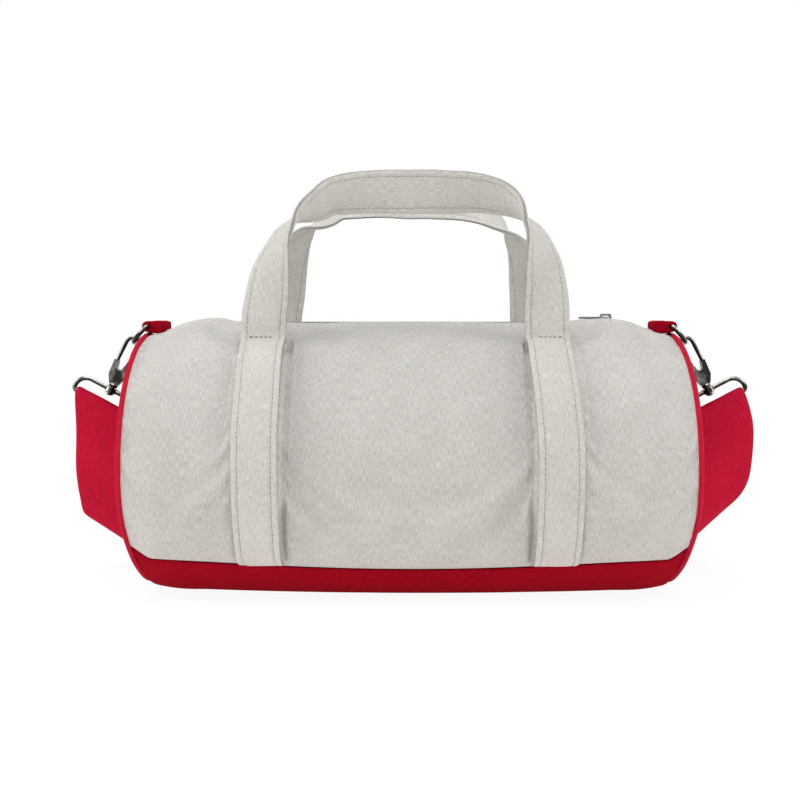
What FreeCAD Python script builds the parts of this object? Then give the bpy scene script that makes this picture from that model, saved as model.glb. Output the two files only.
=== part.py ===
import FreeCAD
import Part
import Sketcher
import math
import os
from FreeCAD import Placement, Rotation, Vector

# Barrel bag of canvas: +X along the barrel, -Y to the front, +Z up.
# The origin is on the floor under the middle of the base.

SIZES = {
    # Barrel: cloth panels between the two end seams
    "barrel_length": 394.0,
    "canvas_thickness": 1.6,
    "mid_height": 200.0,
    "mid_sag": 5.0,
    "mid_flat_half": 30.0,
    "end_radius": 94.0,
    "end_lift": 2.0,
    "end_sag": 1.0,
    "end_flat_half": 10.0,
    "shoulder_length": 37.0,
    "mid_seam_height": 21.0,
    "end_seam_height": 27.0,
    "seam_gap": 0.2,
    "piping_radius": 2.5,
    "piping_inset": 1.2,
    "end_dome": 4.0,
    "seat_gap": 0.3,
    # Zip in the top slot
    "slot_half": 10.0,
    "tape_thickness": 0.8,
    "tape_inner": 2.7,
    "tape_outer": 16.0,
    "tooth_pitch": 3.6,
    "tooth_width": 1.3,
    "tooth_reach": 1.1,
    "tooth_height": 2.6,
    "bead_inner": 1.8,
    "bead_outer": 2.6,
    "chain_inset": 24.0,
    "slider_inset": 32.0,
    "slider_length": 14.0,
    "slider_width": 11.0,
    "slider_waist": 1.0,
    "slider_plate": 1.2,
    "slider_clearance": 0.3,
    "slider_post_width": 2.4,
    "slider_post_length": 3.0,
    "bail_height": 4.6,
    "bail_width": 2.6,
    "bail_bar": 1.6,
    "bail_foot": 5.0,
    "bail_crown": 3.8,
    "pull_length": 21.0,
    "pull_width": 9.0,
    "pull_neck": 6.2,
    "pull_thickness": 1.6,
    "stop_length": 2.4,
    # Ring tabs and rings at the two ends
    "tab_width": 25.0,
    "tab_thickness": 2.0,
    "tab_length": 16.0,
    "tab_overhang": 1.0,
    "throat_share": 0.62,
    "ring_wire_radius": 1.75,
    "ring_width": 29.5,
    "ring_leg": 3.0,
    "ring_corner": 2.5,
    "ring_tilt": 45.0,
    # Swivel snap hook and its eye
    "hook_tilt": 62.0,
    "bow_wire_radius": 1.5,
    "bow_radius": 6.0,
    "link_clearance": 0.35,
    "shank_start": 18.0,
    "shank_end": 36.0,
    "shank_thickness": 6.0,
    "shank_half": 1.6,
    "shank_overlap": 3.0,
    "shank_shoulder": 6.0,
    "bow_tip_length": 7.0,
    "cheek_half": 2.8,
    "pivot_along": 26.0,
    "pivot_across": -2.9,
    "pin_radius": 1.0,
    "pin_press": 0.02,
    "pin_running": 0.08,
    "gate_thickness": 2.4,
    "gate_side_gap": 0.2,
    "gate_knuckle": 2.2,
    "gate_back": 1.3,
    "gate_taper": 6.0,
    "gate_lap": 1.8,
    "gate_step": 1.7,
    "tip_gap": 0.6,
    "knuckle_clearance": 0.6,
    "spring_room": 1.0,
    "spring_seat": 0.1,
    "spring_gap": 0.25,
    "spring_strip": 0.3,
    "spring_width": 2.0,
    "collar_radius": 3.6,
    "collar_length": 2.4,
    "collar_bury": 1.0,
    "collar_edge": 0.5,
    "neck_radius": 2.0,
    "stud_head_radius": 3.2,
    "stud_head_length": 2.0,
    "boss_radius": 4.4,
    "boss_length": 4.0,
    "swivel_clearance": 0.3,
    "swivel_play": 0.6,
    "eye_wire_radius": 1.75,
    "eye_width": 52.2,
    "eye_height": 13.0,
    "eye_shoulder": 9.5,
    "eye_corner": 3.0,
    # Carrying handles
    "handle_width": 32.0,
    "handle_thickness": 2.5,
    "handle_centre": 104.0,
    "handle_root_angle": 30.0,
    "handle_foot_inset": 0.15,
    "handle_fold_room": 10.0,
    "fold_wedge_length": 7.2,
    "fold_wedge_tip": 0.3,
    "handle_rise": 105.4,
    # Shoulder strap
    "strap_width": 48.0,
    "strap_thickness": 1.8,
    "strap_fold_gap": 0.5,
    "strap_run_depth": 122.0,
    "strap_floor_gap": 1.0,
}

# Route of one strap drop beside the barrel, from below the eye to the floor behind the bag.
# Each line is a centre point from the eye bar (outward, back, down) and the way
# the outer edge points there (outward, back, up).
STRAP_DROP = [
    ((6.0, 1.0, 24.0), (0.93, 0.00, 0.36)),
    ((3.5, 4.0, 51.0), (0.97, -0.05, 0.20)),
    ((1.0, 10.0, 77.0), (0.92, -0.08, 0.36)),
    ((-3.0, 22.0, 99.0), (0.76, -0.05, 0.62)),
    ((-9.0, 44.0, 107.5), (0.45, 0.15, 0.88)),
    ((-15.0, 70.0, 110.0), (0.15, 0.08, 0.98)),
    ((-22.0, 96.0, 110.0), (0.0, 0.0, 1.0)),
    ((-44.0, 113.0, 110.0), (0.0, 0.0, 1.0)),
    ((-78.0, 120.0, 110.0), (0.0, 0.0, 1.0)),
]

# One half of a handle loop, from its sewn root to the top of the arch.
# Each line is (distance in from the leg, forward, share of the rise) and the way
# the inner edge points there: the webbing rolls over as it turns the corner.
HANDLE_ARCH = [
    ((0.0, 0.0, 0.00), (1.00, 0.00, 0.00)),
    ((0.5, 0.5, 0.20), (1.00, -0.03, 0.00)),
    ((2.0, 1.5, 0.38), (0.97, -0.22, 0.06)),
    ((6.0, 2.5, 0.56), (0.82, -0.54, 0.18)),
    ((14.0, 3.0, 0.72), (0.52, -0.80, 0.30)),
    ((27.0, 3.0, 0.85), (0.24, -0.84, 0.48)),
    ((43.0, 3.0, 0.93), (0.08, -0.66, 0.75)),
    ((64.0, 3.0, 0.98), (0.02, -0.38, 0.92)),
    ((84.0, 3.0, 0.995), (0.00, -0.22, 0.97)),
    ((104.0, 3.0, 1.00), (0.00, -0.18, 0.98)),
]

doc = FreeCAD.newDocument("barrel_bag")
sheet = doc.addObject("Spreadsheet::Sheet", "dims")
for row, (alias, number) in enumerate(SIZES.items(), start=1):
    sheet.set("A%d" % row, alias)
    sheet.set("B%d" % row, str(number))
    sheet.setAlias("B%d" % row, alias)
doc.recompute()

sub_parts = []


def size(alias):
    return float(sheet.get(alias))


def value(expression):
    return float(sheet.evalExpression(expression))


def keep(item):
    sub_parts.append(item)
    return item


# Sketch and feature helpers

def new_body(label):
    return keep(doc.addObject("PartDesign::Body", label))


def new_sketch(body, name, role, offset="0"):
    plane = [item for item in body.Origin.OriginFeatures if item.Role == role][0]
    sketch = body.newObject("Sketcher::SketchObject", name)
    sketch.AttachmentSupport = [(plane, "")]
    sketch.MapMode = "FlatFace"
    if offset != "0":
        sketch.setExpression("AttachmentOffset.Base.z", offset)
    return sketch


def bind(sketch, kind, geometry, point, expression, axis):
    if expression == "0":
        sketch.addConstraint(Sketcher.Constraint("PointOnObject", geometry, point, axis))
        return
    index = sketch.addConstraint(
        Sketcher.Constraint(kind, -1, 1, geometry, point, value(expression)))
    sketch.setExpression("Constraints[%d]" % index, expression)


def bind_x(sketch, geometry, point, expression):
    bind(sketch, "DistanceX", geometry, point, expression, -2)


def bind_y(sketch, geometry, point, expression):
    bind(sketch, "DistanceY", geometry, point, expression, -1)


def outline(sketch, corners, closed=True):
    """Draw lines and arcs through corners: (x, y) or (x, y, centre x, centre y, turn).

    The arc belongs to the edge that leaves its corner, and turn is 1 or -1.
    """
    spots = [Vector(value(c[0]), value(c[1]), 0) for c in corners]
    count = len(corners) if closed else len(corners) - 1
    ends = []
    after_arc = [None] * len(corners)
    for index in range(count):
        following = (index + 1) % len(corners)
        start, stop = spots[index], spots[following]
        corner = corners[index]
        if len(corner) == 2:
            edge = sketch.addGeometry(Part.LineSegment(start, stop))
            ends.append((edge, 1, 2))
            continue
        centre = Vector(value(corner[2]), value(corner[3]), 0)
        first, last = (start, stop) if corner[4] > 0 else (stop, start)
        from_angle = math.atan2(first.y - centre.y, first.x - centre.x)
        to_angle = math.atan2(last.y - centre.y, last.x - centre.x)
        circle = Part.Circle(centre, Vector(0, 0, 1), (start - centre).Length)
        edge = sketch.addGeometry(Part.ArcOfCircle(circle, from_angle, to_angle))
        ends.append((edge, 1, 2) if corner[4] > 0 else (edge, 2, 1))
        bind_x(sketch, edge, 3, corner[2])
        bind_y(sketch, edge, 3, corner[3])
        after_arc[following] = stop - centre
    for index in range(count):
        following = (index + 1) % count
        if closed or following:
            sketch.addConstraint(Sketcher.Constraint(
                "Coincident", ends[index][0], ends[index][2], ends[following][0], ends[following][1]))
    for index, corner in enumerate(corners):
        edge, point = (ends[index][0], ends[index][1]) if index < count else (ends[-1][0], ends[-1][2])
        spoke = after_arc[index]
        if spoke is None or abs(spoke.y) > abs(spoke.x):
            bind_x(sketch, edge, point, corner[0])
        if spoke is None or abs(spoke.y) <= abs(spoke.x):
            bind_y(sketch, edge, point, corner[1])
    return sketch


def circle(sketch, x, y, radius):
    edge = sketch.addGeometry(Part.Circle(Vector(value(x), value(y), 0), Vector(0, 0, 1), value(radius)))
    if x == "0" and y == "0":
        sketch.addConstraint(Sketcher.Constraint("Coincident", edge, 3, -1, 1))
    else:
        bind_x(sketch, edge, 3, x)
        bind_y(sketch, edge, 3, y)
    index = sketch.addConstraint(Sketcher.Constraint("Radius", edge, value(radius)))
    sketch.setExpression("Constraints[%d]" % index, radius)
    return sketch


def pad(body, sketch, length, midplane=True):
    feature = body.newObject("PartDesign::Pad", sketch.Name + "_pad")
    feature.Profile = sketch
    feature.Midplane = midplane
    feature.setExpression("Length", length)
    doc.recompute()
    return feature


def pocket(body, sketch, length, midplane=True):
    before = body.Shape.Volume
    feature = body.newObject("PartDesign::Pocket", sketch.Name + "_pocket")
    feature.Profile = sketch
    feature.Midplane = midplane
    feature.setExpression("Length", length)
    doc.recompute()
    if body.Shape.Volume >= before:
        raise RuntimeError("%s cuts nothing" % feature.Name)
    return feature


def pipe(body, profile, spine):
    feature = body.newObject("PartDesign::AdditivePipe", spine.Name + "_pipe")
    feature.Profile = profile
    feature.Spine = (spine, [])
    feature.Transition = 1
    doc.recompute()
    return feature


def revolve(body, sketch, angle="360"):
    feature = body.newObject("PartDesign::Revolution", sketch.Name + "_turn")
    feature.Profile = sketch
    feature.ReferenceAxis = (sketch, ["H_Axis"])
    feature.setExpression("Angle", angle)
    doc.recompute()
    return feature


def feature(label, shape):
    item = doc.addObject("Part::Feature", label)
    item.Shape = shape
    return keep(item)


# The left end is the right end turned half a turn about Z.

ENDS = {"left": 180.0, "right": 0.0}


def at_end(side, x, z, tilt=0.0):
    turn = Placement(Vector(), Rotation(Vector(0, 0, 1), ENDS[side]))
    return turn.multiply(Placement(Vector(x, 0, z), Rotation(Vector(0, 1, 0), tilt)))


# Cloth barrel: cross-sections of one roof arc, two corner arcs and a flat bottom

half_length = size("barrel_length") / 2
canvas = size("canvas_thickness")


def mix(middle, end, share):
    return middle + (end - middle) * share


class BarrelSection:
    """One cross-section of the barrel, which shrinks to the round end over the shoulder."""

    def __init__(self, x):
        shoulder = size("shoulder_length")
        share = max(0.0, (abs(x) - half_length + shoulder) / shoulder) ** 2
        height = mix(size("mid_height"), 2 * size("end_radius"), share)
        sag = mix(size("mid_sag"), size("end_sag"), share)
        self.x = x
        self.bottom = mix(0.0, size("end_lift"), share)
        self.flat = mix(size("mid_flat_half"), size("end_flat_half"), share)
        self.seam = mix(size("mid_seam_height"), size("end_seam_height"), share)
        self.roof = height / 2 + sag
        self.corner = height / 2 - self.flat ** 2 / (4 * sag)
        self.top = self.bottom + height
        self.centre = self.top - self.roof
        self.corner_centre = self.bottom + self.corner

    def point(self, y, z):
        return Vector(self.x, y, z)

    def roof_point(self, radius, angle):
        return self.point(-radius * math.sin(angle), self.centre + radius * math.cos(angle))

    def angle_at_depth(self, depth):
        return math.asin(depth / self.roof)

    def seam_angle(self):
        return math.acos((self.seam - self.centre) / self.roof)

    def tangent_angle(self):
        return math.pi - math.atan2(self.flat, self.centre - self.corner_centre)

    def height_at(self, depth):
        return self.centre + math.sqrt(self.roof ** 2 - depth ** 2)


def arc(section, radius, start, stop):
    middle = (start + stop) / 2
    spots = [section.roof_point(radius, angle) for angle in (start, middle, stop)]
    return Part.Arc(*spots).toShape()


def line(start, stop):
    return Part.LineSegment(start, stop).toShape()


def roof_band(section, outer, inner, start, stop):
    """A closed strip of the roof arc between two radii and two angles from the top."""
    return Part.Wire([
        arc(section, outer, start, stop),
        line(section.roof_point(outer, stop), section.roof_point(inner, stop)),
        arc(section, inner, stop, start),
        line(section.roof_point(inner, start), section.roof_point(outer, start)),
    ])


def corner_arc(section, radius, side):
    slope = section.tangent_angle()
    spots = []
    for angle in (slope, (slope + math.pi) / 2, math.pi):
        across = section.flat + radius * math.sin(angle)
        spots.append(section.point(side * across, section.corner_centre + radius * math.cos(angle)))
    return spots


def base_band(section):
    """The base's closed cross-section: from the front seam under the bottom to the back seam."""
    gap = size("seam_gap") / section.roof
    seam, slope = section.seam_angle() + gap, section.tangent_angle()
    edges = []
    for inset in (0.0, canvas):
        roof, corner = section.roof - inset, section.corner - inset
        front, back = corner_arc(section, corner, -1), corner_arc(section, corner, 1)
        edges.append([
            arc(section, roof, seam, slope),
            Part.Arc(*front).toShape(),
            line(front[2], back[2]),
            Part.Arc(*back).toShape(),
            arc(section, roof, -slope, -seam),
        ])
    ends = [line(section.roof_point(section.roof, angle), section.roof_point(section.roof - canvas, angle))
            for angle in (seam, -seam)]
    return Part.Wire(Part.__sortEdges__(edges[0] + edges[1] + ends))


shoulder_steps = (0.0, 0.3, 0.55, 0.8, 1.0)
shoulder_places = [half_length - size("shoulder_length") * (1 - step) for step in shoulder_steps]
stations = [BarrelSection(-x) for x in reversed(shoulder_places)]
stations += [BarrelSection(x) for x in shoulder_places]
middle = BarrelSection(0.0)
barrel_end = BarrelSection(half_length)


def loft(wires):
    return Part.makeLoft(wires, True, True)


def side_panel(section, side):
    top = section.angle_at_depth(size("slot_half"))
    return roof_band(section, section.roof, section.roof - canvas, side * top, side * section.seam_angle())


def zip_tape(section, side):
    outer = section.roof - canvas - size("seam_gap")
    inner = outer - size("tape_thickness")
    near, far = (section.angle_at_depth(size(name)) for name in ("tape_inner", "tape_outer"))
    return roof_band(section, outer, inner, side * near, side * far)


SIDES = {"front": 1, "back": -1}

for name, side in SIDES.items():
    feature("%s_panel" % name, loft([side_panel(section, side) for section in stations]))
    feature("%s_zip_tape" % name, loft([zip_tape(section, side) for section in stations]))
feature("base_panel", loft([base_band(section) for section in stations]))

# Round ends: a domed panel inside a ring of piping

end_centre = size("end_lift") + size("end_radius")
piping_x = half_length + size("piping_radius") + size("seam_gap")

for side in ENDS:
    piping = keep(doc.addObject("Part::Torus", "%s_piping" % side))
    piping.setExpression("Radius1", "dims.end_radius - dims.piping_inset")
    piping.setExpression("Radius2", "dims.piping_radius")
    piping.Placement = at_end(side, piping_x, end_centre, 90.0)

    panel = new_body("%s_end_panel" % side)
    rim = "(dims.end_radius - dims.piping_inset - dims.piping_radius - dims.seam_gap)"
    outer_radius = "((%s ^ 2 + dims.end_dome ^ 2) / (2 * dims.end_dome))" % rim
    outer_centre = "(dims.end_dome - %s)" % outer_radius
    inner_radius = "(%s - dims.canvas_thickness)" % outer_radius
    inner_x = "(%s + sqrt(%s ^ 2 - %s ^ 2))" % (outer_centre, inner_radius, rim)
    dome = outline(new_sketch(panel, "%s_dome" % side, "XZ_Plane"), [
        ("0", rim, outer_centre, "0", -1),
        ("dims.end_dome", "0"),
        ("dims.end_dome - dims.canvas_thickness", "0", outer_centre, "0", 1),
        (inner_x, rim),
    ])
    revolve(panel, dome)
    panel.Placement = at_end(side, piping_x, end_centre)

# Zip chain: a bead along each tape with teeth that mesh half a pitch apart

tab_inner_end = "(dims.barrel_length / 2 + dims.tab_overhang - dims.tab_length)"
chain_start = "(dims.chain_inset - %s)" % tab_inner_end
slider_rest = "(%s - dims.slider_inset)" % tab_inner_end
chain_height = middle.top - canvas - size("seam_gap") - size("tape_thickness") / 2
slider_end = "(%s + dims.slider_length / 2)" % slider_rest
chain_stop = "(%s - dims.slider_post_length - dims.slider_clearance)" % slider_end
tooth_room = "(%s - %s - dims.tooth_width - dims.tooth_pitch / 2)" % (chain_stop, chain_start)
tooth_steps = "floor(%s / dims.tooth_pitch)" % tooth_room

for name, side in SIDES.items():
    chain = new_body("%s_zip_teeth" % name)
    sign = "-" if side > 0 else ""
    other = "" if side > 0 else "-"
    shift = "0" if side > 0 else "dims.tooth_pitch / 2"
    first = "%s + %s" % (chain_start, shift)
    last = "%s + dims.tooth_width" % first
    bead = outline(new_sketch(chain, "%s_bead" % name, "XY_Plane"), [
        (chain_start, sign + "dims.bead_outer"),
        (chain_stop, sign + "dims.bead_outer"),
        (chain_stop, sign + "dims.bead_inner"),
        (chain_start, sign + "dims.bead_inner"),
    ])
    pad(chain, bead, "dims.tooth_height")
    tooth = outline(new_sketch(chain, "%s_tooth" % name, "XY_Plane"), [
        (first, sign + "(dims.bead_inner + dims.bead_outer) / 2"),
        (last, sign + "(dims.bead_inner + dims.bead_outer) / 2"),
        (last, other + "dims.tooth_reach"),
        (first, other + "dims.tooth_reach"),
    ])
    tooth_pad = pad(chain, tooth, "dims.tooth_height")
    teeth = chain.newObject("PartDesign::LinearPattern", "%s_tooth_row" % name)
    teeth.Originals = [tooth_pad]
    teeth.Direction = (tooth, ["H_Axis"])
    teeth.setExpression("Length", "%s * dims.tooth_pitch" % tooth_steps)
    teeth.setExpression("Occurrences", "%s + 1" % tooth_steps)
    chain.Tip = teeth
    chain.Placement = Placement(Vector(0, 0, chain_height), Rotation())

# Stops that close the chain: one box across the left end, one on each tape at the right

stop_boxes = []
for name, side in (("left", 0), ("front", -1), ("back", 1)):
    box = doc.addObject("Part::Box", "%s_stop" % name)
    box.setExpression("Length", "dims.stop_length")
    box.setExpression("Width", "2 * dims.bead_outer" if side == 0 else "dims.bead_outer - dims.bead_inner")
    box.setExpression("Height", "dims.tooth_height")
    reach = size("bead_outer") if side <= 0 else -size("bead_inner")
    start = value("%s - dims.stop_length - dims.seam_gap" % chain_start)
    if side:
        start = value("%s + dims.slider_clearance" % slider_end)
    box.Placement = Placement(Vector(start, -reach, chain_height - size("tooth_height") / 2), Rotation())
    stop_boxes.append(box)
stops = keep(doc.addObject("Part::Compound", "zip_stops"))
stops.Links = stop_boxes

# Zip slider: two waisted plates joined by a post, side flanges and a bail on top

slider = new_body("zip_slider")
half_long, half_wide = "dims.slider_length / 2", "dims.slider_width / 2"
plate_gap = "(dims.tooth_height / 2 + dims.slider_clearance)"
waist = "(dims.slider_width / 2 - dims.slider_waist)"
plate_plan = [
    ("-" + half_long, "-" + waist),
    (half_long, "-" + half_wide),
    (half_long, half_wide),
    ("-" + half_long, waist),
]
top_plate = outline(new_sketch(slider, "top_plate", "XY_Plane", plate_gap), plate_plan)
pad(slider, top_plate, "dims.slider_plate", midplane=False)
post = outline(new_sketch(slider, "post", "XY_Plane", "-%s - dims.slider_plate" % plate_gap), [
    (half_long + " - dims.slider_post_length", "-dims.slider_post_width / 2"),
    (half_long, "-dims.slider_post_width / 2"),
    (half_long, "dims.slider_post_width / 2"),
    (half_long + " - dims.slider_post_length", "dims.slider_post_width / 2"),
])
pad(slider, post, "2 * %s + 2 * dims.slider_plate" % plate_gap, midplane=False)
low_plate = outline(
    new_sketch(slider, "low_plate", "XY_Plane", "-%s - dims.slider_plate" % plate_gap), plate_plan)
pad(slider, low_plate, "dims.slider_plate", midplane=False)
flange_start = "(dims.tape_thickness / 2 + dims.slider_clearance)"
for name, sign in (("front_flange", "-"), ("back_flange", "")):
    flange = outline(new_sketch(slider, name, "XY_Plane", flange_start), [
        ("-" + half_long, sign + waist),
        (half_long, sign + half_wide),
        (half_long, sign + "(%s - dims.slider_plate)" % half_wide),
        ("-" + half_long, sign + "(%s - dims.slider_plate)" % waist),
    ])
    pad(slider, flange, "%s + dims.slider_plate / 2 - %s" % (plate_gap, flange_start), midplane=False)
bail_base = "(%s + dims.slider_plate / 2)" % plate_gap
bail_top = "(%s + dims.slider_plate + dims.bail_height)" % plate_gap
bail = outline(new_sketch(slider, "bail", "XZ_Plane"), [
    ("-dims.bail_foot", bail_base),
    ("-dims.bail_crown", bail_top),
    ("dims.bail_crown", bail_top),
    ("dims.bail_foot", bail_base),
])
pad(slider, bail, "dims.bail_width")
window_base = "(%s + dims.slider_plate)" % plate_gap
window = outline(new_sketch(slider, "bail_window", "XZ_Plane"), [
    ("-dims.bail_foot + dims.bail_bar", window_base),
    ("-dims.bail_crown + dims.bail_bar", bail_top + " - dims.bail_bar"),
    ("dims.bail_crown - dims.bail_bar", bail_top + " - dims.bail_bar"),
    ("dims.bail_foot - dims.bail_bar", window_base),
])
pocket(slider, window, "2 * dims.bail_width")
slider.Placement = Placement(Vector(value(slider_rest), 0, chain_height), Rotation())

# Zip pull: a tapered plate whose nose bar goes through the bail's window

pull = new_body("zip_pull")
pull_nose = "dims.pull_thickness / 2"
hole_half = "(dims.bail_width / 2 + dims.slider_clearance)"
hole_end = "-(dims.bail_foot + dims.pull_thickness + dims.slider_clearance)"
pull_bar = circle(new_sketch(pull, "pull_bar", "XZ_Plane"), "0", "0", pull_nose)
pad(pull, pull_bar, "dims.pull_neck")
pull_flat = outline(new_sketch(pull, "pull_plate", "XY_Plane"), [
    ("0", "-dims.pull_neck / 2"),
    ("0", "dims.pull_neck / 2"),
    (hole_end, "dims.pull_width / 2"),
    ("-dims.pull_length", "dims.pull_neck / 2"),
    ("-dims.pull_length", "-dims.pull_neck / 2"),
    (hole_end, "-dims.pull_width / 2"),
])
pad(pull, pull_flat, "dims.pull_thickness")
pull_hole = outline(new_sketch(pull, "pull_hole", "XY_Plane"), [
    (hole_end, "-" + hole_half),
    ("-" + pull_nose, "-" + hole_half),
    ("-" + pull_nose, hole_half),
    (hole_end, hole_half),
])
pocket(pull, pull_hole, "2 * dims.pull_thickness")
pull_x = value("%s + dims.pull_thickness / 2" % slider_rest)
pull_z = chain_height + value("(%s + %s - dims.bail_bar) / 2" % (window_base, bail_top))
pull.Placement = Placement(Vector(pull_x, 0, pull_z), Rotation())

# Ring tabs: folded cloth sewn on the top at each end, with the ring's bar in the fold

bar_hole = "(dims.ring_wire_radius + dims.seat_gap)"
fold_radius = "(%s + dims.tab_thickness)" % bar_hole
bar_x = half_length + size("tab_overhang")
piping_top = end_centre + value("dims.end_radius - dims.piping_inset + dims.piping_radius")
bar_z = piping_top + size("seat_gap") + value(fold_radius)
tab_seat = BarrelSection(bar_x - size("tab_length")).height_at(size("slot_half")) + size("seat_gap")
tab_slope = math.degrees(math.atan2(tab_seat + size("tab_thickness") - bar_z, size("tab_length")))

for side in ENDS:
    tab = new_body("%s_ring_tab" % side)
    plies = outline(new_sketch(tab, "%s_plies" % side, "XZ_Plane"), [
        ("-dims.tab_length", "-dims.tab_thickness"),
        ("0", "-" + fold_radius, "0", "0", 1),
        ("0", fold_radius),
        ("-dims.tab_length", "dims.tab_thickness"),
    ])
    pad(tab, plies, "dims.tab_width")
    throat = outline(new_sketch(tab, "%s_throat" % side, "XZ_Plane"), [
        ("-dims.tab_length * dims.throat_share", "0"),
        ("0", "-" + bar_hole, "0", "0", 1),
        ("0", bar_hole),
    ])
    pocket(tab, throat, "2 * dims.tab_width")
    tab.Placement = at_end(side, bar_x, bar_z, tab_slope)

    ring = new_body("%s_d_ring" % side)
    half_ring, corner = "dims.ring_width / 2", "dims.ring_corner"
    inner_edge = "(%s - %s)" % (half_ring, corner)
    loop = outline(new_sketch(ring, "%s_ring_loop" % side, "XY_Plane"), [
        ("0", "-" + inner_edge),
        ("0", inner_edge, corner, inner_edge, -1),
        (corner, half_ring),
        ("dims.ring_leg", half_ring, "dims.ring_leg", "0", -1),
        ("dims.ring_leg", "-" + half_ring),
        (corner, "-" + half_ring, corner, "-" + inner_edge, -1),
    ])
    wire = circle(new_sketch(ring, "%s_ring_wire" % side, "XZ_Plane"), "0", "0", "dims.ring_wire_radius")
    pipe(ring, wire, loop)
    ring.Placement = at_end(side, bar_x, bar_z, size("ring_tilt"))

# Swivel snap hook: local X runs down the hook from the ring's wire, local Z to the outer side

ring_reach = value("dims.ring_leg + dims.ring_width / 2")
ring_slope = math.radians(size("ring_tilt"))
hook_x = bar_x + ring_reach * math.cos(ring_slope)
hook_z = bar_z - ring_reach * math.sin(ring_slope)
hook_tilt = size("hook_tilt")

bow_top = "-(dims.ring_wire_radius + dims.link_clearance + dims.bow_wire_radius)"
bow_centre = "(%s + dims.bow_radius)" % bow_top
tip_end = "(%s + dims.bow_tip_length)" % bow_centre
neck_start = "(dims.shank_end + dims.collar_length)"
boss_start = "(%s + dims.swivel_play)" % neck_start
eye_top = "(%s + dims.boss_length / 2)" % boss_start
neck_end = "(%s + dims.boss_length + dims.swivel_play)" % boss_start
cheek_gap = "(dims.gate_thickness + 2 * dims.gate_side_gap)"
web = "(dims.pivot_across + dims.gate_knuckle + dims.spring_room)"
tip_inside = "-(dims.bow_radius - dims.bow_wire_radius - dims.seat_gap)"

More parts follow.
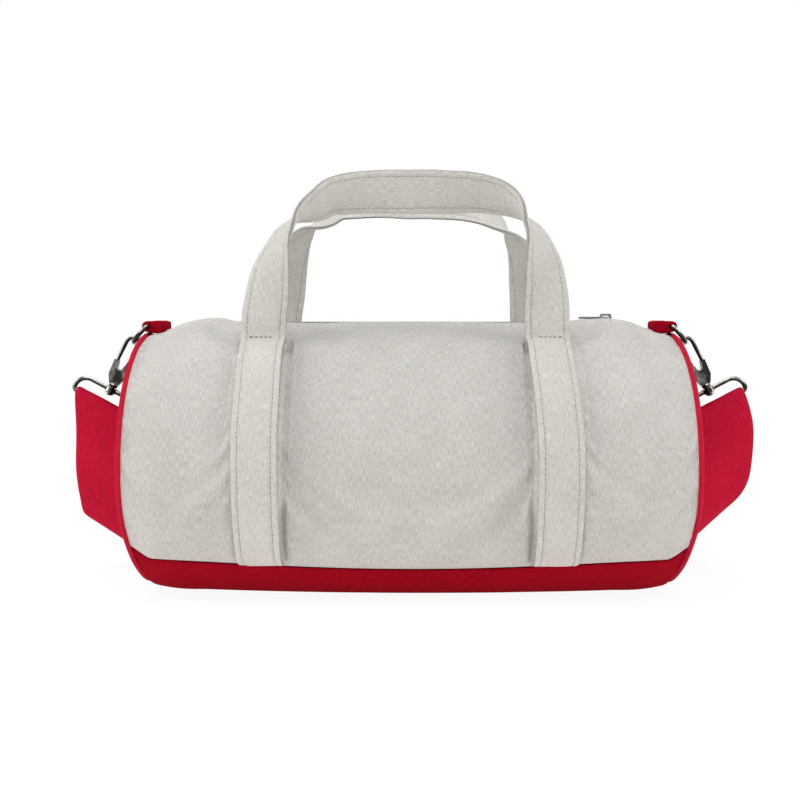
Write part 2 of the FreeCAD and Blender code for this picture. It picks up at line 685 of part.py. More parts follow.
for side in ENDS:
    place = at_end(side, hook_x, hook_z, hook_tilt)

    hook = new_body("%s_snap_hook" % side)
    stud = outline(new_sketch(hook, "%s_stud" % side, "XZ_Plane"), [
        ("dims.shank_end - dims.collar_bury", "0"),
        ("dims.shank_end - dims.collar_bury", "dims.collar_radius - dims.collar_bury"),
        ("dims.shank_end + dims.collar_edge", "dims.collar_radius"),
        (neck_start, "dims.collar_radius - dims.collar_edge"),
        (neck_start, "dims.neck_radius"),
        (neck_end, "dims.neck_radius"),
        (neck_end, "dims.stud_head_radius"),
        (neck_end + " + dims.stud_head_length / 2", "dims.stud_head_radius"),
        (neck_end + " + dims.stud_head_length", "dims.stud_head_radius / 2"),
        (neck_end + " + dims.stud_head_length", "0"),
    ])
    revolve(hook, stud)
    shank = outline(new_sketch(hook, "%s_shank" % side, "XZ_Plane"), [
        ("dims.shank_start", "dims.bow_radius + dims.shank_half"),
        ("dims.shank_start", "dims.bow_radius - dims.shank_half"),
        ("dims.pivot_along - dims.cheek_half", "dims.bow_radius - dims.cheek_half"),
        ("dims.pivot_along - dims.cheek_half / 2", "dims.cheek_half / 2"),
        ("dims.pivot_along - dims.cheek_half", "dims.pivot_across + dims.cheek_half / 3"),
        ("dims.pivot_along - dims.cheek_half * 3 / 4", "dims.pivot_across - dims.cheek_half * 3 / 4"),
        ("dims.pivot_along", "dims.pivot_across - dims.cheek_half"),
        ("dims.pivot_along + dims.cheek_half * 3 / 2", "dims.pivot_across - dims.cheek_half"),
        ("dims.shank_end", "-dims.collar_radius"),
        ("dims.shank_end", "dims.collar_radius"),
        ("dims.shank_end - dims.shank_shoulder", "dims.bow_radius + dims.shank_half / 2"),
    ])
    pad(hook, shank, "dims.shank_thickness")
    bow_line = outline(new_sketch(hook, "%s_bow_line" % side, "XZ_Plane"), [
        ("dims.shank_start + dims.shank_overlap", "dims.bow_radius"),
        (bow_centre, "dims.bow_radius", bow_centre, "0", 1),
        (bow_centre, "-dims.bow_radius"),
        (tip_end, "-dims.bow_radius"),
    ], closed=False)
    bow_wire = circle(new_sketch(hook, "%s_bow_wire" % side, "YZ_Plane",
                                 "dims.shank_start + dims.shank_overlap"),
                      "0", "dims.bow_radius", "dims.bow_wire_radius")
    pipe(hook, bow_wire, bow_line)
    slot_end = "dims.pivot_along + dims.gate_knuckle + dims.knuckle_clearance"
    slot_mouth = "dims.pivot_along - dims.cheek_half * 3 / 2"
    gate_slot = outline(new_sketch(hook, "%s_gate_slot" % side, "XZ_Plane"), [
        (slot_mouth, web),
        (slot_mouth, "dims.pivot_across - dims.cheek_half * 2"),
        (slot_end, "dims.pivot_across - dims.cheek_half * 2"),
        (slot_end, web),
    ])
    pocket(hook, gate_slot, cheek_gap)
    pin_hole = circle(new_sketch(hook, "%s_pin_hole" % side, "XZ_Plane"),
                      "dims.pivot_along", "dims.pivot_across", "dims.pin_radius + dims.pin_press")
    pocket(hook, pin_hole, "2 * dims.shank_thickness")
    hook.Placement = place

    gate = new_body("%s_hook_gate" % side)
    nose = tip_end + " - dims.gate_lap"
    knuckle_arc = ("dims.pivot_along", "dims.pivot_across", 1)
    gate_plan = outline(new_sketch(gate, "%s_gate_plan" % side, "XZ_Plane"), [
        (nose, tip_inside),
        (tip_end + " + dims.tip_gap", tip_inside),
        (tip_end + " + 2 * dims.tip_gap", tip_inside + " - dims.gate_step"),
        ("dims.pivot_along - dims.gate_taper * 3 / 2", tip_inside + " - dims.gate_step"),
        ("dims.pivot_along - dims.cheek_half", tip_inside + " - dims.gate_step / 2"),
        ("dims.pivot_along", "dims.pivot_across - dims.gate_knuckle") + knuckle_arc,
        ("dims.pivot_along", "dims.pivot_across + dims.gate_knuckle"),
        ("dims.pivot_along - dims.gate_taper", "dims.pivot_across + dims.gate_back"),
        (nose, tip_inside + " + dims.gate_step"),
    ])
    pad(gate, gate_plan, "dims.gate_thickness")
    gate_hole = circle(new_sketch(gate, "%s_gate_hole" % side, "XZ_Plane"),
                       "dims.pivot_along", "dims.pivot_across", "dims.pin_radius + dims.pin_running")
    pocket(gate, gate_hole, "2 * dims.gate_thickness")
    gate.Placement = place

    pin = keep(doc.addObject("Part::Cylinder", "%s_gate_pin" % side))
    pin.setExpression("Radius", "dims.pin_radius")
    pin.setExpression("Height", "dims.shank_thickness")
    pin_seat = Vector(size("pivot_along"), size("shank_thickness") / 2, size("pivot_across"))
    pin.Placement = place.multiply(Placement(pin_seat, Rotation(Vector(1, 0, 0), 90)))

    spring = new_body("%s_gate_spring" % side)
    spring_floor = "(%s - dims.spring_seat)" % web
    spring_bend = "dims.pivot_along - dims.cheek_half / 2"
    spring_tip = "(dims.pivot_across + dims.gate_back + dims.spring_gap)"
    strip = outline(new_sketch(spring, "%s_spring_strip" % side, "XZ_Plane"), [
        ("dims.pivot_along + dims.gate_knuckle", spring_floor),
        (spring_bend, spring_floor),
        ("dims.pivot_along - dims.gate_taper", spring_tip + " + dims.spring_strip"),
        ("dims.pivot_along - dims.gate_taper", spring_tip),
        (spring_bend, spring_floor + " - dims.spring_strip"),
        ("dims.pivot_along + dims.gate_knuckle", spring_floor + " - dims.spring_strip"),
    ])
    pad(spring, strip, "dims.spring_width")
    spring.Placement = place

    eye = new_body("%s_swivel_eye" % side)
    half_eye, bend = "dims.eye_width / 2", "dims.eye_corner"
    eye_low = "(%s + dims.eye_height)" % eye_top
    shoulder_low = "(%s + dims.eye_shoulder)" % eye_top
    top_run = "(%s - dims.eye_shoulder)" % half_eye
    low_run = "(%s - %s)" % (half_eye, bend)
    eye_line = outline(new_sketch(eye, "%s_eye_line" % side, "XZ_Plane"), [
        (eye_top, "-" + top_run),
        (eye_top, top_run, shoulder_low, top_run, -1),
        (shoulder_low, half_eye),
        (eye_low + " - " + bend, half_eye, eye_low + " - " + bend, low_run, -1),
        (eye_low, low_run),
        (eye_low, "-" + low_run, eye_low + " - " + bend, "-" + low_run, -1),
        (eye_low + " - " + bend, "-" + half_eye),
        (shoulder_low, "-" + half_eye, shoulder_low, "-" + top_run, -1),
    ])
    eye_wire = circle(new_sketch(eye, "%s_eye_wire" % side, "XY_Plane"),
                      eye_top, "0", "dims.eye_wire_radius")
    pipe(eye, eye_wire, eye_line)
    boss = circle(new_sketch(eye, "%s_boss" % side, "YZ_Plane", boss_start), "0", "0", "dims.boss_radius")
    pad(eye, boss, "dims.boss_length", midplane=False)
    bore = circle(new_sketch(eye, "%s_bore" % side, "YZ_Plane", eye_top), "0", "0",
                  "dims.neck_radius + dims.swivel_clearance")
    pocket(eye, bore, "2 * dims.boss_length")
    eye.Placement = place

# Webbing: a flat band through stations of a centre point and the way its edge points

def band(places, edges, width, thickness):
    wires = []
    for index, (place, edge) in enumerate(zip(places, edges)):
        before = places[max(index - 1, 0)]
        after = places[min(index + 1, len(places) - 1)]
        along = (after - before).normalize()
        across = (edge - along * edge.dot(along)).normalize()
        face = along.cross(across)
        corners = []
        for wide, thick in ((-1, -1), (1, -1), (1, 1), (-1, 1)):
            corners.append(place + across * (wide * width / 2) + face * (thick * thickness / 2))
        wires.append(Part.makePolygon(corners + corners[:1]))
    return loft(wires)


# Carrying handles: legs sewn down over the barrel and a loop that swings at the leg's top

root_angle = math.radians(size("handle_root_angle"))
leg_centre = middle.roof + size("seat_gap") / 2 + size("handle_thickness") / 2
root_depth = leg_centre * math.sin(root_angle)
root_height = middle.centre + leg_centre * math.cos(root_angle)
leg_start = root_angle + size("handle_fold_room") / leg_centre
leg_sweep = middle.seam_angle() - leg_start


def handle_loop(side):
    places, edges = [], []
    for (inward, forward, rise), (x, y, z) in HANDLE_ARCH:
        depth = -side * (root_depth + forward)
        height = root_height + rise * size("handle_rise")
        share = inward / HANDLE_ARCH[-1][0][0]
        places.append(Vector(size("handle_centre") * (share - 1), depth, height))
        edges.append(Vector(x, side * y, z))
    for place, edge in list(zip(places, edges))[-2::-1]:
        places.append(Vector(-place.x, place.y, place.z))
        edges.append(Vector(-edge.x, edge.y, edge.z))
    shape = band(places, edges, size("handle_width"), size("handle_thickness"))
    foot_radius = size("handle_thickness") / 2 - size("handle_foot_inset")
    foot_length = size("handle_width") - 2 * size("handle_foot_inset")
    for x in (-1, 1):
        left = x * size("handle_centre") - foot_length / 2
        foot = Part.makeCylinder(foot_radius, foot_length,
                                 Vector(left, -side * root_depth, root_height), Vector(1, 0, 0))
        shape = shape.fuse(foot)
    return shape


leg_low = "(dims.mid_height / 2 + dims.mid_sag + dims.seat_gap / 2)"
half_handle = "dims.handle_width / 2"
leg_turns = {"front": Rotation(), "back": Rotation(Vector(0, 0, 1), 180)}

for name, side in SIDES.items():
    for end, outward in (("left", -1), ("right", 1)):
        label = "%s_%s_handle_leg" % (name, end)
        leg = new_body(label)
        strip = outline(new_sketch(leg, label + "_strip", "XZ_Plane"), [
            ("-" + half_handle, leg_low),
            (half_handle, leg_low),
            (half_handle, leg_low + " + dims.handle_thickness"),
            ("-" + half_handle, leg_low + " + dims.handle_thickness"),
        ])
        revolve(leg, strip, repr(round(math.degrees(leg_sweep), 6)))
        wedge = outline(new_sketch(leg, label + "_wedge", "YZ_Plane"), [
            ("0", leg_low),
            ("dims.fold_wedge_length", leg_low),
            ("dims.fold_wedge_length", leg_low + " + dims.fold_wedge_tip"),
            ("0", leg_low + " + dims.handle_thickness"),
        ])
        pad(leg, wedge, "dims.handle_width")
        seat = Placement(Vector(side * outward * size("handle_centre"), 0, middle.centre),
                         Rotation(Vector(1, 0, 0), math.degrees(leg_start)))
        leg.Placement = Placement(Vector(), leg_turns[name]).multiply(seat)
    feature("%s_handle" % name, handle_loop(side))

# Shoulder strap: one webbing from eye to eye, folded round each eye's lower bar

strap_slope = math.radians(hook_tilt)
strap_down = Vector(math.cos(strap_slope), 0, -math.sin(strap_slope))
strap_out = Vector(math.sin(strap_slope), 0, math.cos(strap_slope))
eye_bar = Vector(hook_x, 0, hook_z) + strap_down * value("%s + dims.eye_height" % eye_top)
fold = size("eye_wire_radius") + size("strap_fold_gap") + size("strap_thickness") / 2
ply = (size("strap_thickness") + size("seat_gap")) / 2
run_height = size("strap_width") / 2 + size("strap_floor_gap")


def strap_half():
    """Stations from the sewn tail, up over the eye bar, down the drop to behind the bag."""
    back = Vector(0, 1, 0)
    first_drop, first_edge = STRAP_DROP[0]
    tail_end = Vector(eye_bar.x + first_drop[0], first_drop[1] + ply, eye_bar.z - first_drop[2])
    places = [tail_end, eye_bar + back * fold]
    for angle in range(30, 180, 30):
        turn = math.radians(angle)
        places.append(eye_bar - strap_down * (fold * math.sin(turn)) + back * (fold * math.cos(turn)))
    places.append(eye_bar - back * fold)
    edges = [Vector(*first_edge)] + [strap_out] * (len(places) - 1)
    for (outward, behind, down), edge in STRAP_DROP:
        height = max(eye_bar.z - down, run_height)
        places.append(Vector(eye_bar.x + outward, behind - ply, height))
        edges.append(Vector(*edge))
    return places, edges


right_places, right_edges = strap_half()
strap_places = list(right_places) + [Vector(0, size("strap_run_depth"), run_height)]
strap_edges = list(right_edges) + [Vector(0, 0, 1)]
for place, edge in zip(reversed(right_places), reversed(right_edges)):
    strap_places.append(Vector(-place.x, place.y, place.z))
    strap_edges.append(Vector(-edge.x, edge.y, edge.z))
feature("shoulder_strap", band(strap_places, strap_edges, size("strap_width"), size("strap_thickness")))

# Check every object, then write one file for each sub-part

doc.recompute()
for item in doc.Objects:
    if "Invalid" in item.State or "Error" in item.State:
        raise RuntimeError("%s did not build: %s" % (item.Name, item.State))
for item in sub_parts:
    if item.Shape.isNull() or not item.Shape.isValid() or not item.Shape.Solids:
        raise RuntimeError("%s has no valid solid" % item.Label)
os.makedirs("parts", exist_ok=True)
for item in sub_parts:
    item.Shape.exportStep("parts/%s.step" % item.Label)
print("%d sub-parts, ring pivot %.2f %.2f, hook root %.2f %.2f, eye bar %.2f %.2f" % (
    len(sub_parts), bar_x, bar_z, hook_x, hook_z, eye_bar.x, eye_bar.z))
print("handle root %.2f %.2f, chain height %.2f, pull pivot %.2f %.2f" % (
    root_depth, root_height, chain_height, pull_x, pull_z))
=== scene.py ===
from math import acos, asin, atan, atan2, copysign, cos, dist, exp, hypot, pi, radians, sin

import bpy
import numpy as np
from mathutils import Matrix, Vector, noise


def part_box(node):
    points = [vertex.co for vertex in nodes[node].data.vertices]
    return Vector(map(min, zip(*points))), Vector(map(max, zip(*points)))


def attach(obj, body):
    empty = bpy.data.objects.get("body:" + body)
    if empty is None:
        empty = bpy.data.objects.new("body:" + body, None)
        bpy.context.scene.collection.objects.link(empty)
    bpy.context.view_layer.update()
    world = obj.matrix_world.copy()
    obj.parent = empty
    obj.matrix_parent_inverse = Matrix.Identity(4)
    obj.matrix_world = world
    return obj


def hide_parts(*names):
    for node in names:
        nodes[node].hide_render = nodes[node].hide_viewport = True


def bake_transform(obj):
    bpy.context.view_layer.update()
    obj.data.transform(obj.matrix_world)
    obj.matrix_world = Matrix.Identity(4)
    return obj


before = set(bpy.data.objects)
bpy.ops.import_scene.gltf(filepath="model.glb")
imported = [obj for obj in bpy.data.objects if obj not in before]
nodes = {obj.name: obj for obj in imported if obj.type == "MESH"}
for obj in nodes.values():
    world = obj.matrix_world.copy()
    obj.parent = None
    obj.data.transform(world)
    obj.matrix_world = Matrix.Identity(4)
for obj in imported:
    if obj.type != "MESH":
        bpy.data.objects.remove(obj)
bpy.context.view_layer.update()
scene = bpy.context.scene
frontAndBack = (("front", 1), ("back", -1))
leftAndRight = (("left", -1), ("right", 1))
print("frame loaded:", len(nodes), "nodes")


def added(name, data):
    # a new object in the scene
    made = bpy.data.objects.new(name, data)
    scene.collection.objects.link(made)
    return made


# Camera: at the photograph's eye height, turned so that the bag stands where it does there

view = {
    "distance": 0.8, "height": 0.205,
    "imageSize": 800, "focal": 1042, "horizonRow": 314, "middleColumn": 409,  # pixels
}

cameraData = bpy.data.cameras.new("camera")
cameraData.lens = cameraData.sensor_width * view["focal"] / view["imageSize"]
camera = added("camera", cameraData)
scene.camera = camera
pitchDown = atan((view["imageSize"] / 2 - view["horizonRow"]) / view["focal"])
turnLeft = atan((view["middleColumn"] - view["imageSize"] / 2) / view["focal"])
camera.location = (0, -view["distance"], view["height"])
camera.rotation_euler = (pi / 2 - pitchDown, 0, turnLeft)
scene.view_settings.view_transform = "Standard"


# Shader sums

class Wire:
    # one output of a finish: sums on it add Math nodes
    def __init__(self, finish, socket):
        self.finish = finish
        self.socket = socket

    def sum(self, operation, first, second):
        return self.finish.node("Math", {"operation": operation}, {0: first, 1: second})

    def __add__(self, other):
        return self.sum("ADD", self, other)

    def __sub__(self, other):
        return self.sum("SUBTRACT", self, other)

    def __rsub__(self, other):
        return self.sum("SUBTRACT", other, self)

    def __mul__(self, other):
        return self.sum("MULTIPLY", self, other)

    __radd__, __rmul__ = __add__, __mul__


def rgba(colour):
    return (*colour, 1.0)


class Finish:
    # one material: its shader, and a method that adds any node
    def __init__(self, name, **fixed):
        self.material = bpy.data.materials.new(name)
        self.material.use_nodes = True
        self.tree = self.material.node_tree
        self.shader = self.tree.nodes["Principled BSDF"]
        for socket, value in fixed.items():
            self.shader.inputs[socket.replace("_", " ")].default_value = value

    def node(self, kind, settings, sockets, out=0):
        made = self.tree.nodes.new("ShaderNode" + kind)
        for key, value in settings.items():
            setattr(made, key, value)
        for key, value in sockets.items():
            self.feed(made.inputs[key], value)
        return Wire(self, made.outputs[out])

    def feed(self, socket, value):
        if isinstance(value, Wire):
            self.tree.links.new(value.socket, socket)
        else:
            socket.default_value = value

    def drive(self, socket, wire):
        self.feed(self.shader.inputs[socket], wire)

    def clothPlace(self):
        # a point's place on the flat cloth
        return self.node("Attribute", {"attribute_name": "weave"}, {}, out="Vector")

    def part(self, vector, letter):
        return self.node("SeparateXYZ", {}, {0: vector}, out=letter)

    def mix(self, factor, first, second):
        sockets = {0: factor, 6: first, 7: second}
        return self.node("Mix", {"data_type": "RGBA"}, sockets, out=2)

    def shade(self, tone, span, dark, light):
        # from dark to light while the tone crosses the span
        return self.mix(self.between(tone, *span), rgba(dark), rgba(light))

    def grain(self, vector, pitch, detail=2.0):
        # noise whose lumps are pitch long each way, in metres
        scale = [1 / length for length in pitch]
        spot = self.node("VectorMath", {"operation": "MULTIPLY"}, {0: vector, 1: scale})
        return self.node("TexNoise", {}, {"Vector": spot, "Scale": 1.0, "Detail": detail})

    def between(self, wire, low, high):
        return self.node("MapRange", {}, {"Value": wire, "From Min": low, "From Max": high})

    def wave(self, wire, pitch):
        turns = wire * (2 * pi / pitch)
        return self.node("Math", {"operation": "SINE"}, {0: turns})

    def bump(self, height, distance):
        sockets = {"Strength": 1.0, "Distance": distance, "Height": height}
        self.drive("Normal", self.node("Bump", {}, sockets))


canvasLooks = {
    "canvas": {
        "light": (0.7, 0.682, 0.648), "dark": (0.48, 0.465, 0.436), "fleck": (0.3, 0.26, 0.2),
        "yarn": 0.0009, "relief": 0.00022, "sheen": 0.1, "gloss": 0.15,
    },
    "handleCanvas": {
        "light": (0.725, 0.702, 0.665), "dark": (0.51, 0.491, 0.46), "fleck": (0.36, 0.31, 0.25),
        "yarn": 0.00086, "relief": 0.0002, "sheen": 0.1, "gloss": 0.15,
    },
    "zipTape": {
        "light": (0.74, 0.72, 0.67), "dark": (0.6, 0.58, 0.53), "fleck": (0.5, 0.47, 0.42),
        "yarn": 0.00055, "relief": 0.0001, "sheen": 0.1, "gloss": 0.15,
    },
    "redCanvas": {
        "light": (0.38, 0.0032, 0.016), "dark": (0.265, 0.0018, 0.0095), "fleck": (0.44, 0.008, 0.03),
        "yarn": 0.0009, "relief": 0.00016, "sheen": 0.02, "gloss": 0.03,
    },
    "redPiping": {
        "light": (0.6, 0.015, 0.05), "dark": (0.44, 0.008, 0.028), "fleck": (0.66, 0.03, 0.08),
        "yarn": 0.0007, "relief": 0.00012, "sheen": 0.05, "gloss": 0.08,
    },
}
# the lumps' lengths run across, along and through the cloth
weaving = {
    "roughness": 0.92, "sheenRoughness": 0.5, "warpSlub": (0.0006, 0.0048, 0.01),
    "weftSlub": (0.0042, 0.0006, 0.01), "cloud": (0.022, 0.034, 0.03), "speck": (0.0016, 0.003, 0.002),
    "toneRange": (0.38, 0.7), "speckRange": (0.73, 0.8), "speckShare": 0.6,
}


def wovenFinish(name):
    look = canvasLooks[name]
    made = Finish(name, Roughness=weaving["roughness"], Sheen_Weight=look["sheen"],
                  Sheen_Roughness=weaving["sheenRoughness"], Sheen_Tint=rgba(look["light"]),
                  Specular_IOR_Level=look["gloss"])
    place = made.clothPlace()
    yarns = made.wave(made.part(place, "X"), look["yarn"]) * made.wave(made.part(place, "Y"), look["yarn"])
    warpSlubs = made.grain(place, weaving["warpSlub"], detail=1.0)
    weftSlubs = made.grain(place, weaving["weftSlub"], detail=1.0)
    clouds = made.grain(place, weaving["cloud"])
    tone = 0.62 * warpSlubs + 0.26 * weftSlubs + 0.18 * clouds + 0.06 * yarns
    colour = made.shade(tone, weaving["toneRange"], look["dark"], look["light"])
    specks = made.between(made.grain(place, weaving["speck"], detail=1.0), *weaving["speckRange"])
    made.drive("Base Color", made.mix(weaving["speckShare"] * specks, colour, rgba(look["fleck"])))
    made.bump(0.6 * yarns + 1.2 * warpSlubs + 0.9 * weftSlubs, look["relief"])
    return made.material


webbing = {
    "light": (0.585, 0.008, 0.042), "dark": (0.42, 0.004, 0.025), "toneRange": (0.3, 0.75),
    "sheen": 0.05, "sheenRoughness": 0.45, "gloss": 0.08, "rib": 0.0011, "yarn": 0.0016, "relief": 0.00022,
    "fuzz": (0.0011, 0.009, 0.01), "wear": (0.03, 0.05, 0.03), "roughness": 0.74, "wornRoughness": 0.16,
}


def webbingFinish(name):
    made = Finish(name, Sheen_Weight=webbing["sheen"], Sheen_Roughness=webbing["sheenRoughness"],
                  Sheen_Tint=rgba(webbing["light"]), Specular_IOR_Level=webbing["gloss"])
    place = made.clothPlace()
    ribs = made.wave(made.part(place, "Y"), webbing["rib"])
    cords = made.wave(made.part(place, "X"), webbing["yarn"])
    fuzz = made.grain(place, webbing["fuzz"])
    wear = made.grain(place, webbing["wear"])
    tone = 0.7 * fuzz + 0.35 * wear + 0.08 * ribs + 0.05 * cords
    made.drive("Base Color", made.shade(tone, webbing["toneRange"], webbing["dark"], webbing["light"]))
    made.drive("Roughness", webbing["roughness"] + webbing["wornRoughness"] * wear)
    made.bump(0.45 * ribs + 0.25 * cords + 0.5 * fuzz, webbing["relief"])
    return made.material


threadLooks = {
    "creamThread": {"light": (0.66, 0.645, 0.6), "dark": (0.4, 0.39, 0.355)},
    # stitchShade is painted shade: a dark colour for the dents round the needle holes
    "stitchShade": {"light": (0.15, 0.147, 0.125), "dark": (0.075, 0.073, 0.06)},
    "redThread": {"light": (0.46, 0.01, 0.03), "dark": (0.24, 0.004, 0.012)},
}
spinning = {"roughness": 0.65, "sheen": 0.1, "twist": (0.0004, 0.0011, 0.0004), "toneRange": (0.3, 0.7),
            "relief": 0.0001}


def threadFinish(name):
    look = threadLooks[name]
    made = Finish(name, Roughness=spinning["roughness"], Sheen_Weight=spinning["sheen"])
    twist = made.grain(made.clothPlace(), spinning["twist"])
    made.drive("Base Color", made.shade(twist, spinning["toneRange"], look["dark"], look["light"]))
    made.bump(twist, spinning["relief"])
    return made.material


metalLooks = {
    # the two colours are the light and dark ends of each metal's painted reflection and its random smears
    "nickel": {"bright": (0.42, 0.41, 0.385), "dullAndReflectedDark": (0.028, 0.028, 0.024), "polish": 0.12, "haze": 0.14},
    "zipMetal": {"bright": (0.5, 0.49, 0.46), "dullAndReflectedDark": (0.18, 0.175, 0.165), "polish": 0.2, "haze": 0.25},
    "springSteel": {"bright": (0.46, 0.46, 0.47), "dullAndReflectedDark": (0.28, 0.28, 0.29), "polish": 0.3, "haze": 0.2},
}
# the tone range spans the painted reflection by facing and the random smears
tarnishAndPaintedReflection = {"smear": (0.007, 0.007, 0.01), "pit": (0.0008, 0.0008, 0.0008), "toneRange": (0.44, 0.95),
           "hazeRange": (0.35, 0.75), "relief": 0.00005}


def metalFinish(name):
    look = metalLooks[name]
    made = Finish(name, Metallic=1.0)
    place = made.node("TexCoord", {}, {}, out="Object")
    upward = made.part(made.node("TexCoord", {}, {}, out="Normal"), "Z")
    smears = made.grain(place, tarnishAndPaintedReflection["smear"])
    pits = made.grain(place, tarnishAndPaintedReflection["pit"])
    # painted reflection: faces turned down get darker and faces turned up lighter, by the way their normal
    # points; the smears add random tarnish
    tone = 0.5 * upward + smears
    made.drive("Base Color", made.shade(tone, tarnishAndPaintedReflection["toneRange"], look["dullAndReflectedDark"], look["bright"]))
    made.drive("Roughness", look["polish"] + look["haze"] * made.between(smears, *tarnishAndPaintedReflection["hazeRange"]))
    made.bump(0.6 * smears + 0.4 * pits, tarnishAndPaintedReflection["relief"])
    return made.material


finishes = {name: wovenFinish(name) for name in canvasLooks}
finishes["redWebbing"] = webbingFinish("redWebbing")
finishes.update({name: threadFinish(name) for name in threadLooks})
finishes.update({name: metalFinish(name) for name in metalLooks})
print("finishes made:", len(finishes))


# Mesh helpers. The weave attribute holds each point's place on the flat cloth, in metres.

def blended(first, second, share):
    return first + (second - first) * share


def eased(share):
    share = min(max(share, 0.0), 1.0)
    return share * share * (3 - 2 * share)


def ramp(value, start, length):
    return eased((value - start) / length)


def lumps(spot, height, length, seed):
    # smooth noise up to the height each way, whose lumps are about length long
    return height * noise.noise(Vector(spot) / length + Vector((seed, 2 * seed, 3 * seed)))


def rolledEdge(distance, width, depth):
    # how far cloth dips towards a seam that lies at this distance
    return depth * max(0.0, 1 - distance / width) ** 2


def humps(x, rows):
    # the sum of smooth humps, each given by its middle, spread and height
    return sum(height * exp(-((x - middle) / spread) ** 2) for middle, spread, height in rows)


def newPiece(name, points, faces, weave, finish):
    mesh = bpy.data.meshes.new(name)
    mesh.from_pydata([tuple(point) for point in points], [], faces)
    mesh.polygons.foreach_set("use_smooth", [True] * len(mesh.polygons))
    mesh.attributes.new("weave", "FLOAT_VECTOR", "POINT").data.foreach_set(
        "vector", np.array(weave, np.float32).ravel())
    mesh.materials.append(finishes[finish])
    return added(name, mesh)


def gridFaces(rows, columns, closed=False, flip=False):
    faces = []
    for row in range(rows - 1):
        for column in range(columns if closed else columns - 1):
            following = (column + 1) % columns
            face = (row * columns + column, row * columns + following,
                    (row + 1) * columns + following, (row + 1) * columns + column)
            faces.append(face[::-1] if flip else face)
    return faces


def tubeFaces(rows, columns, first=0):
    # a closed grid with a cap at each end, from the point with the number first
    last = first + (rows - 1) * columns
    faces = [tuple(first + corner for corner in face) for face in gridFaces(rows, columns, closed=True)]
    return faces + [tuple(range(first, first + columns))[::-1], tuple(range(last, last + columns))]


def applied(piece):
    # the piece with its modifiers worked into its mesh
    bpy.context.view_layer.update()
    graph = bpy.context.evaluated_depsgraph_get()
    made = bpy.data.meshes.new_from_object(piece.evaluated_get(graph))
    piece.modifiers.clear()
    piece.data = made
    return piece


def thickened(piece, thickness, rounds=1):
    solid = piece.modifiers.new("thickness", "SOLIDIFY")
    solid.thickness = thickness
    solid.offset = -1.0
    if rounds:
        piece.modifiers.new("rounding", "SUBSURF").levels = rounds
    return applied(piece)


def smoothPath(stations, step):
    # a centripetal spline through rows of numbers, the first three of which are a place
    rows = np.array(stations, float)
    rows = np.vstack([2 * rows[0] - rows[1], rows, 2 * rows[-1] - rows[-2]])
    gaps = np.linalg.norm(np.diff(rows[:, :3], axis=0), axis=1)
    knots = np.concatenate([[0], np.cumsum(np.sqrt(gaps))])
    made = []
    for index in range(1, len(rows) - 2):
        parts = max(1, round(gaps[index] / step))
        p, k = rows[index - 1:index + 3], knots[index - 1:index + 3]
        for at in np.linspace(k[1], k[2], parts, endpoint=False):
            low = [blended(p[n], p[n + 1], (at - k[n]) / (k[n + 1] - k[n])) for n in range(3)]
            mid = [blended(low[n], low[n + 1], (at - k[n]) / (k[n + 2] - k[n])) for n in range(2)]
            made.append(blended(mid[0], mid[1], (at - k[1]) / (k[2] - k[1])))
    made.append(rows[-2])
    return np.array(made)


# Bands: flat strips along a path, with rounded edges and a groove under each row of stitches

bandForm = {
    "marks": (0.0, 0.25, 0.5, 0.7, 0.86, 0.94, 0.98, 1.0),  # shares of the half width
    "squareness": 18, "leastHeight": 0.5, "grooveHalf": 0.0009, "grooveSpread": 0.0007,
    "crossSteps": 9,
}


class BandStation:
    # one place along a band: edge points across it, face out of it, run is the length so far
    def __init__(self, place, edge, face, run, swell, spread):
        self.place, self.edge, self.face = place, edge, face
        self.run, self.swell, self.spread, self.play = run, swell, spread, 1.0

    def spot(self, look, across, height):
        # a point of the band, with the small waves of sewn cloth
        ripple = self.play * lumps((across, self.run, 0), *look["ripple"])
        sway = self.play * lumps((0, self.run, 0), *look["sway"])
        beside = self.edge * (across * self.spread + sway)
        return self.place + beside + self.face * (height * self.swell + ripple)


def bandStations(path, square=True):
    # a path's rows are a place, the way one edge points, and shares of the thickness and width
    places = [Vector(row[:3]) for row in path]
    stations, run = [], 0.0
    for index, place in enumerate(places):
        ahead = places[min(index + 1, len(places) - 1)] - places[max(index - 1, 0)]
        edge = Vector(path[index][3:6])
        if square:
            edge = (edge - ahead * (edge.dot(ahead) / ahead.length_squared)).normalized()
        if index:
            run += (place - places[index - 1]).length
        swell, spread = path[index][6:8]
        stations.append(BandStation(place, edge, edge.cross(ahead).normalized(), run, swell, spread))
    return stations


def bandProfile(look):
    # half heights across a band
    half = look["width"] / 2
    grooves = [half - inset for inset in look["stitchInsets"]]
    marks = set(bandForm["marks"])
    for groove in grooves:
        marks.update((groove + side * bandForm["grooveHalf"]) / half for side in (-1, 0, 1))
    profile = []
    for share in sorted({-mark for mark in marks} | marks):
        rounding = (1 - abs(share) ** bandForm["squareness"]) ** 0.5
        height = look["thickness"] / 2 * max(bandForm["leastHeight"], rounding)
        for groove in grooves:
            away = (abs(share) * half - groove) / bandForm["grooveSpread"]
            height -= look["grooveDepth"] * exp(-away ** 2)
        profile.append((share * half, height))
    return profile


def bandPiece(name, stations, look, finish):
    # plyGap is how far the edge opens between two plies; below zero, the edge is round instead
    profile = bandProfile(look)
    ring = list(profile) + [(profile[-1][0] - look["plyGap"], 0.0)]
    ring += [(across, -height) for across, height in reversed(profile)]
    ring += [(profile[0][0] + look["plyGap"], 0.0)]
    points, weave = [], []
    for station in stations:
        for across, height in ring:
            points.append(station.spot(look, across, height))
            weave.append((across, station.run, copysign(0.01, height)))
    piece = newPiece(name, points, tubeFaces(len(stations), len(ring)), weave, finish)
    for cut in piece.data.polygons[-2:]:
        cut.use_smooth = False
    return piece


